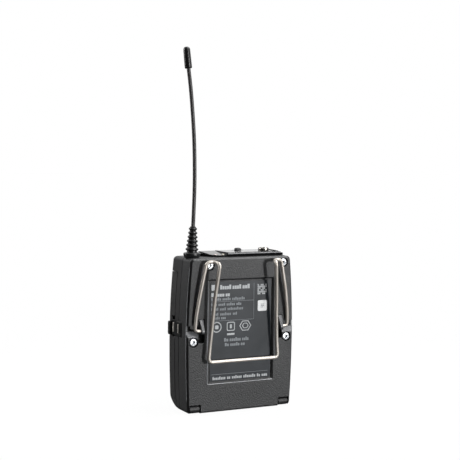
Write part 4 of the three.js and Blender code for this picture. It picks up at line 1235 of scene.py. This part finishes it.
def charge_contacts():
    """The contact block in the left side, with its two domed pads."""
    base = soft_prism("x", round_rect(-5.7, 7.0, 39.0, 47.0, 1.2), -30.9, -27.9, 0.25)
    step = soft_prism("x", round_rect(-4.9, 1.2, 39.3, 46.7, 1.0), -31.35, -30.0, 0.3, 3)
    base = cut(
        join(base, step),
        prism("x", round_rect(-1.8, -0.4, 40.3, 45.7, 0.3), -32, -30.2),
        prism("x", round_rect(4.4, 5.8, 40.3, 45.7, 0.3), -32, -30.2),
        prism("x", round_rect(-4.1, -2.5, 40.5, 45.5, 0.4), -32, -31.05))
    finish(base, "charge_contact_block_form", "black_plastic", replaces="charge_contact_block",
           bevel=0.06, sharp=33)
    angles = [math.pi * k / 12 for k in range(13)]
    # (z, inset)
    levels = ((40.5, 0.3), (40.62, 0.1), (40.8, 0.0), (45.2, 0.0), (45.38, 0.1), (45.5, 0.3))
    for y, name in ((-1.1, "rear"), (5.1, "front")):
        pad = stack("z", [
            (z, [(-30.75 - (0.5 - d) * math.sin(a), y - (0.55 - d) * math.cos(a)) for a in angles]
             + [(-30.25, y + 0.55 - d), (-30.25, y - 0.55 + d)]) for z, d in levels])
        finish(pad, "charge_contact_form_" + name, "nickel", "contact_nickel_highlight",
               "charge_contact_" + name)


def catches():
    """Side catches with three grip ribs."""
    for side, name in SIDES:
        button = soft_prism("x", round_rect(7.7, 10.5, 38.6, 45.8, 0.9),
                            *mirrored(side, 28.6, 31.75), 0.35, 4)
        for i in range(3):
            z = 40.3 + i * 1.9
            rib = round_rect(8.15, 10.05, z - 0.38, z + 0.38, 0.36, 5)
            button = join(button, soft_prism("x", rib, *mirrored(side, 31.0, 32.0), 0.16))
        button = join(button, side_block(side, 27.7, 28.7, 7.0, 9.2, 37.2, 46.6))
        finish(button, "catch_form_" + name, "black_plastic", replaces="catch_" + name,
               body=name + "_catch", sharp=36)


# ---------------------------------------------------------------- antenna
# (z, x from the antenna's foot) along the rod's gentle bend
ROD_AXIS = [
    (78, 0), (80.5, 0), (84.2, 0.05), (90, 0.3), (96.3, 0.55), (103.6, 0.8), (115.3, 1.12),
    (127.6, 1.05), (140.6, 0.62), (154.7, -0.42), (166.8, -1.62), (177.4, -3.05),
    (182.4, -3.65)]
# (z, radius)
TIP = [
    (176.4, 1.55), (176.55, 1.75), (176.9, 1.88), (177.3, 1.9), (180, 1.88), (183, 1.84),
    (185.6, 1.78), (186.3, 1.68), (186.8, 1.42), (187.1, 1.02), (187.25, 0.6), (187.3, 0.25)]
# (radius, z)
COLLAR = [
    (1.25, 80.06), (3.8, 80.06), (3.88, 80.14), (4.08, 80.9), (4.2, 81.15), (4.33, 81.32),
    (4.35, 81.5), (4.35, 82.2), (4.3, 82.36), (4.15, 82.5), (3.9, 82.62), (3.3, 82.66),
    (3.2, 82.55), (3.05, 82.55), (2.95, 82.75), (1.25, 82.75)]


def boot_levels():
    """(z, radius) up the boot: six rings that shrink upwards."""
    levels = [(82.9, 2.6), (82.98, 2.7), (83.3, 2.66)]
    for i in range(6):
        z = 83.6 + i * 2.1
        groove, crest = 2.62 - i * 0.21, 3.3 - i * 0.24
        levels += [
            (z, groove), (z + 0.16, groove + (crest - groove) * 0.45), (z + 0.36, crest - 0.08),
            (z + 0.55, crest), (z + 0.95, crest - 0.01), (z + 1.12, crest - 0.09),
            (z + 1.3, groove + (crest - groove) * 0.4), (z + 1.5, groove - 0.1),
            (z + 1.78, groove - 0.12)]
    return [p for p in levels if p[0] < 95.7] + [(95.75, 1.56), (95.95, 1.5), (96.0, 1.36)]


def antenna():
    stations = [vec(ANT_X + dx, ANT_Y, z) for z, dx in ROD_AXIS]
    path = [catmull_rom(*four, t) for four, t in spans(stations, 10)] + [stations[-1]]

    def along(z):
        i = 0
        while i + 2 < len(path) and path[i + 1].z < z:
            i += 1
        return path[i].lerp(path[i + 1], (z - path[i].z) / (path[i + 1].z - path[i].z))

    def sleeve(levels, count, bore, bore_heights):
        outer = sweep([along(z) for z, _ in levels], [r for _, r in levels], count)
        return cut(outer, sweep([along(z) for z in bore_heights], bore, 24))

    finish(sweep(path, 1.0, 24), "antenna_rod_form", "rubber", "rod_sheath", "antenna_rod",
           flat=0, sharp=60)
    tip = sleeve(TIP, 32, 1.08, (175.2, 177.4, 180, 183))
    finish(tip, "antenna_tip_form", "rubber", replaces="antenna_tip_cap", sharp=50)
    boot = sleeve(boot_levels(), 36, 1.1, (81.8, 84, 87, 90, 93, 96, 97.2))
    finish(boot, "antenna_boot_form", "rubber", replaces="antenna_boot", flat=0, sharp=50)
    finish(lathe("z", COLLAR, ANT_X, ANT_Y, 64), "antenna_collar_form", "rubber",
           "black_plastic", "antenna_collar", flat=0, sharp=50)


# ---------------------------------------------------------------- top and front controls
def jack_sleeve():
    """The jack's sleeve with its fine outer thread."""
    profile = [(1.85, 76.6), (2.9, 76.6), (2.9, 80.55)]
    z = 80.7
    while z < 83.1:
        profile += [(2.68, z), (2.72, z + 0.06), (2.9, z + 0.19), (2.9, z + 0.25)]
        z += 0.4
    profile += [(2.88, 83.2), (2.6, 83.58), (2.55, 83.6), (2.1, 83.6), (2.0, 83.56), (1.85, 83.35)]
    finish(lathe("z", profile, JACK_X, JACK_Y, 56), "jack_sleeve_form", "nickel",
           replaces="jack_sleeve", flat=0, sharp=40)


def mute_slider():
    profile = [(2.7, 82.42), (5.7, 82.42), (5.62, 82.8), (5.5, 83.15), (5.2, 83.3), (3.2, 83.3),
               (2.9, 83.15), (2.78, 82.8)]
    cap = soft_prism("x", profile, 4.4, 7.2, 0.18, 3)
    for i in range(3):
        x = 5.05 + i * 0.75
        rib = round_rect(3.15, 5.25, 83.1, 83.5, 0.14, 3)
        cap = join(cap, soft_prism("x", rib, x - 0.17, x + 0.17, 0.06, 1))
    cap = join(cap, block(5.3, 6.7, 3.35, 4.85, 78.9, 82.6))
    finish(cap, "mute_slider_form", "black_plastic", replaces="mute_slider", body="mute", sharp=36)


def light_pipes():
    profile = [(0, 78.4), (0.95, 78.4), (0.95, 80.9), (0.92, 81.06), (0.8, 81.24), (0.6, 81.36),
               (0.32, 81.43), (0, 81.45)]
    for name, x in LIGHT_PIPES.items():
        finish(lathe("z", profile, x, LIGHTS_Y, 32), "light_pipe_" + name, "led_" + name,
               replaces="led_" + name, flat=0, sharp=50)


def keys():
    for name, (z, half) in KEYS.items():
        cap = round_rect(KEY_X - 4.6, KEY_X + 4.6, z - half + 0.2, z + half - 0.2, 1.6, 8)
        key = soft_prism("y", cap, 4.4, 7.4, 0.5, 5)
        flange = block(KEY_X - 5.6, KEY_X + 5.6, 3.7, 4.7, z - half - 0.5, z + half + 0.5)
        finish(join(key, flange), "key_form_" + name, "key_rubber", replaces="key_" + name,
               body=name + "_key", sharp=40)


def display_bars():
    """Plain level bars and three blocks behind the window."""
    shapes = [round_rect(-12.6 + i * 1.5, -11.5 + i * 1.5, 66.2, 67.2 + i * 0.62, 0.1, 2)
              for i in range(9)]
    shapes += [round_rect(4.4 + i * 2.9, 6.8 + i * 2.9, 66.2, 71.8, 0.4, 3) for i in range(3)]
    finish(merged([prism("y", shape, 7.85, 7.94) for shape in shapes]), "display_bars",
           "lcd_panel", "display_ink", flat=0)


# ---------------------------------------------------------------- stage, metres
def floor():
    """A pale floor that fades out and holds only a faint shadow."""
    m = Material("floor")
    spot = m.split(m.node("ShaderNodeNewGeometry").outputs["Position"])
    squared = m.math("ADD", m.times(spot[0], spot[0]), m.times(spot[1], spot[1]))
    distance = m.math("SQRT", squared, 0.0)
    far = m.ramp(distance, (0.03, 0.3), to=(0.3, 1.0))
    mottle = m.noise(14, detail=2.0)
    seen = m.node("ShaderNodeLightPath").outputs["Is Camera Ray"]
    pale = m.mix(m.ramp(mottle, (0.3, 0.7)), (0.9, 0.9, 0.9, 1), (0.88, 0.88, 0.88, 1))
    m.set("Base Color", m.mix(seen, (0.12, 0.12, 0.12, 1), pale))
    m.set("Roughness", 0.75)
    glow = m.node("ShaderNodeEmission")
    glow.inputs[0].default_value = (1, 1, 1, 1)
    m.feed(glow.inputs[1], m.ramp(seen, (0.0, 1.0), to=(0.04, 1.0)))
    surface = m.blend(far, m.surface.outputs[0], glow.outputs[0])
    # mostly clear to the camera, so a door swung below the floor still shows
    clear = m.node("ShaderNodeBsdfTransparent")
    path = m.node("ShaderNodeLightPath")
    through = m.math("MAXIMUM", path.outputs["Is Shadow Ray"],
                     m.times(path.outputs["Is Camera Ray"], 0.95))
    m.feed(m.output.inputs[0], m.blend(through, surface, clear.outputs[0]))
    half, z = 6, -0.0002
    corners = [(-half, -half, z), (half, -half, z), (half, half, z), (-half, half, z)]
    mesh = bpy.data.meshes.new("floor")
    mesh.from_pydata(corners, [], [(0, 1, 2, 3)])
    plane = add(mesh, "floor")
    mesh.materials.append(m.material)


def studio_world():
    """White to the camera; soft lobes of light and a dark underside to everything else."""
    world = bpy.data.worlds.new("studio")
    SCENE.world = world
    w = Nodes(world)
    direction = w.node("ShaderNodeTexCoord").outputs["Generated"]

    def lobe(toward, span, gain):
        facing = w.dot(direction, tuple(Vector(toward).normalized()))
        return w.ramp(facing, span, to=(0.0, gain), interpolation_type="SMOOTHSTEP")

    def background(strength):
        node = w.node("ShaderNodeBackground")
        node.inputs["Color"].default_value = (1, 1, 1, 1)
        w.feed(node.inputs["Strength"], strength)
        return node.outputs[0]

    level = 0.16
    # direction, cosines where the lobe starts and is full, gain
    for toward, span, gain in (
            ((0.45, 0.89, 0.1), (0.55, 0.97), 0.95), ((0.6, -0.7, 0.35), (0.4, 0.98), 0.28),
            ((0, 0, 1), (0.4, 1.0), 0.5), ((0.9, 0.42, 0.0), (0.75, 0.99), 0.5)):
        level = w.math("ADD", level, lobe(toward, span, gain))
    shadow = lobe((-0.9, -0.45, 0.0), span=(0.3, 0.95), gain=0.2)
    level = w.math("MAXIMUM", w.math("SUBTRACT", level, shadow), 0.008)
    above = lobe((0, 0, 1), span=(-0.2, 0.02), gain=0.95)
    level = w.times(level, w.math("ADD", above, 0.05))
    seen = w.node("ShaderNodeLightPath").outputs["Is Camera Ray"]
    surface = w.blend(seen, background(level), background(1.0))
    w.feed(w.node("ShaderNodeOutputWorld").inputs[0], surface)


# name, place, target, size, watts
LIGHTS = (
    ("key", (0.40, -0.92, 0.12), (0, 0, 0.05), (0.11, 0.15), 5.1),
    ("front", (0.45, -0.63, 0.68), (0, 0, 0.05), (0.22, 0.22), 2.0),
    ("top", (0.40, -0.14, 0.86), (0, 0, 0.06), (0.45, 0.36), 6.6),
    ("rim", (-0.74, 0.42, 0.12), (0, 0, 0.06), (0.07, 0.5), 1.1),
    ("side", (-0.17, 0.11, 0.23), (-0.03, 0, 0.08), (0.08, 0.08), 0.24),
)


def lights():
    for name, spot, target, size, power in LIGHTS:
        data = bpy.data.lights.new(name, "AREA")
        data.shape = "RECTANGLE"
        data.size, data.size_y = size
        data.energy = power
        light = add(data, name)
        light.location = spot
        light.rotation_mode = "QUATERNION"
        light.rotation_quaternion = (Vector(target) - Vector(spot)).to_track_quat("-Z", "Y")


def camera():
    """Looks from the rear left, a little above level and slightly rolled."""
    azimuth, elevation, roll = (math.radians(a) for a in (-27.1133, 3.902, 0.736))
    aim, distance = Vector((-1.078, 0.0, 93.44)), 600.0  # mm
    back = Vector((math.sin(azimuth) * math.cos(elevation),
                   -math.cos(azimuth) * math.cos(elevation), math.sin(elevation)))
    level = Vector((math.cos(azimuth), math.sin(azimuth), 0.0))
    upright = back.cross(level)
    right = level * math.cos(roll) + upright * math.sin(roll)
    up = upright * math.cos(roll) - level * math.sin(roll)
    data = bpy.data.cameras.new("camera")
    data.sensor_width = 36.0
    data.lens = 89.2076087
    data.clip_start, data.clip_end = 0.01, 30.0
    view = add(data, "camera")
    spot = (aim + back * distance) * 0.001
    view.matrix_world = Matrix((*zip(right, up, back, spot), (0, 0, 0, 1)))
    SCENE.camera = view


# ---------------------------------------------------------------- build
dress_nodes()
for build in (
        rear_shell, rear_edge_lines, front_frame, battery_door, top_panel, label_plate,
        bright_print, faint_print, code_patch, paper_tag, clip_lugs, belt_clip, screws,
        charge_contacts, catches, antenna, jack_sleeve, mute_slider, light_pipes, keys,
        display_bars, floor, studio_world, lights):
    build()
SCENE.view_settings.view_transform = "Standard"
SCENE.view_settings.look = "None"
SCENE.view_settings.exposure = 0.0
SCENE.view_settings.gamma = 1.0
camera()

bpy.context.view_layer.update()
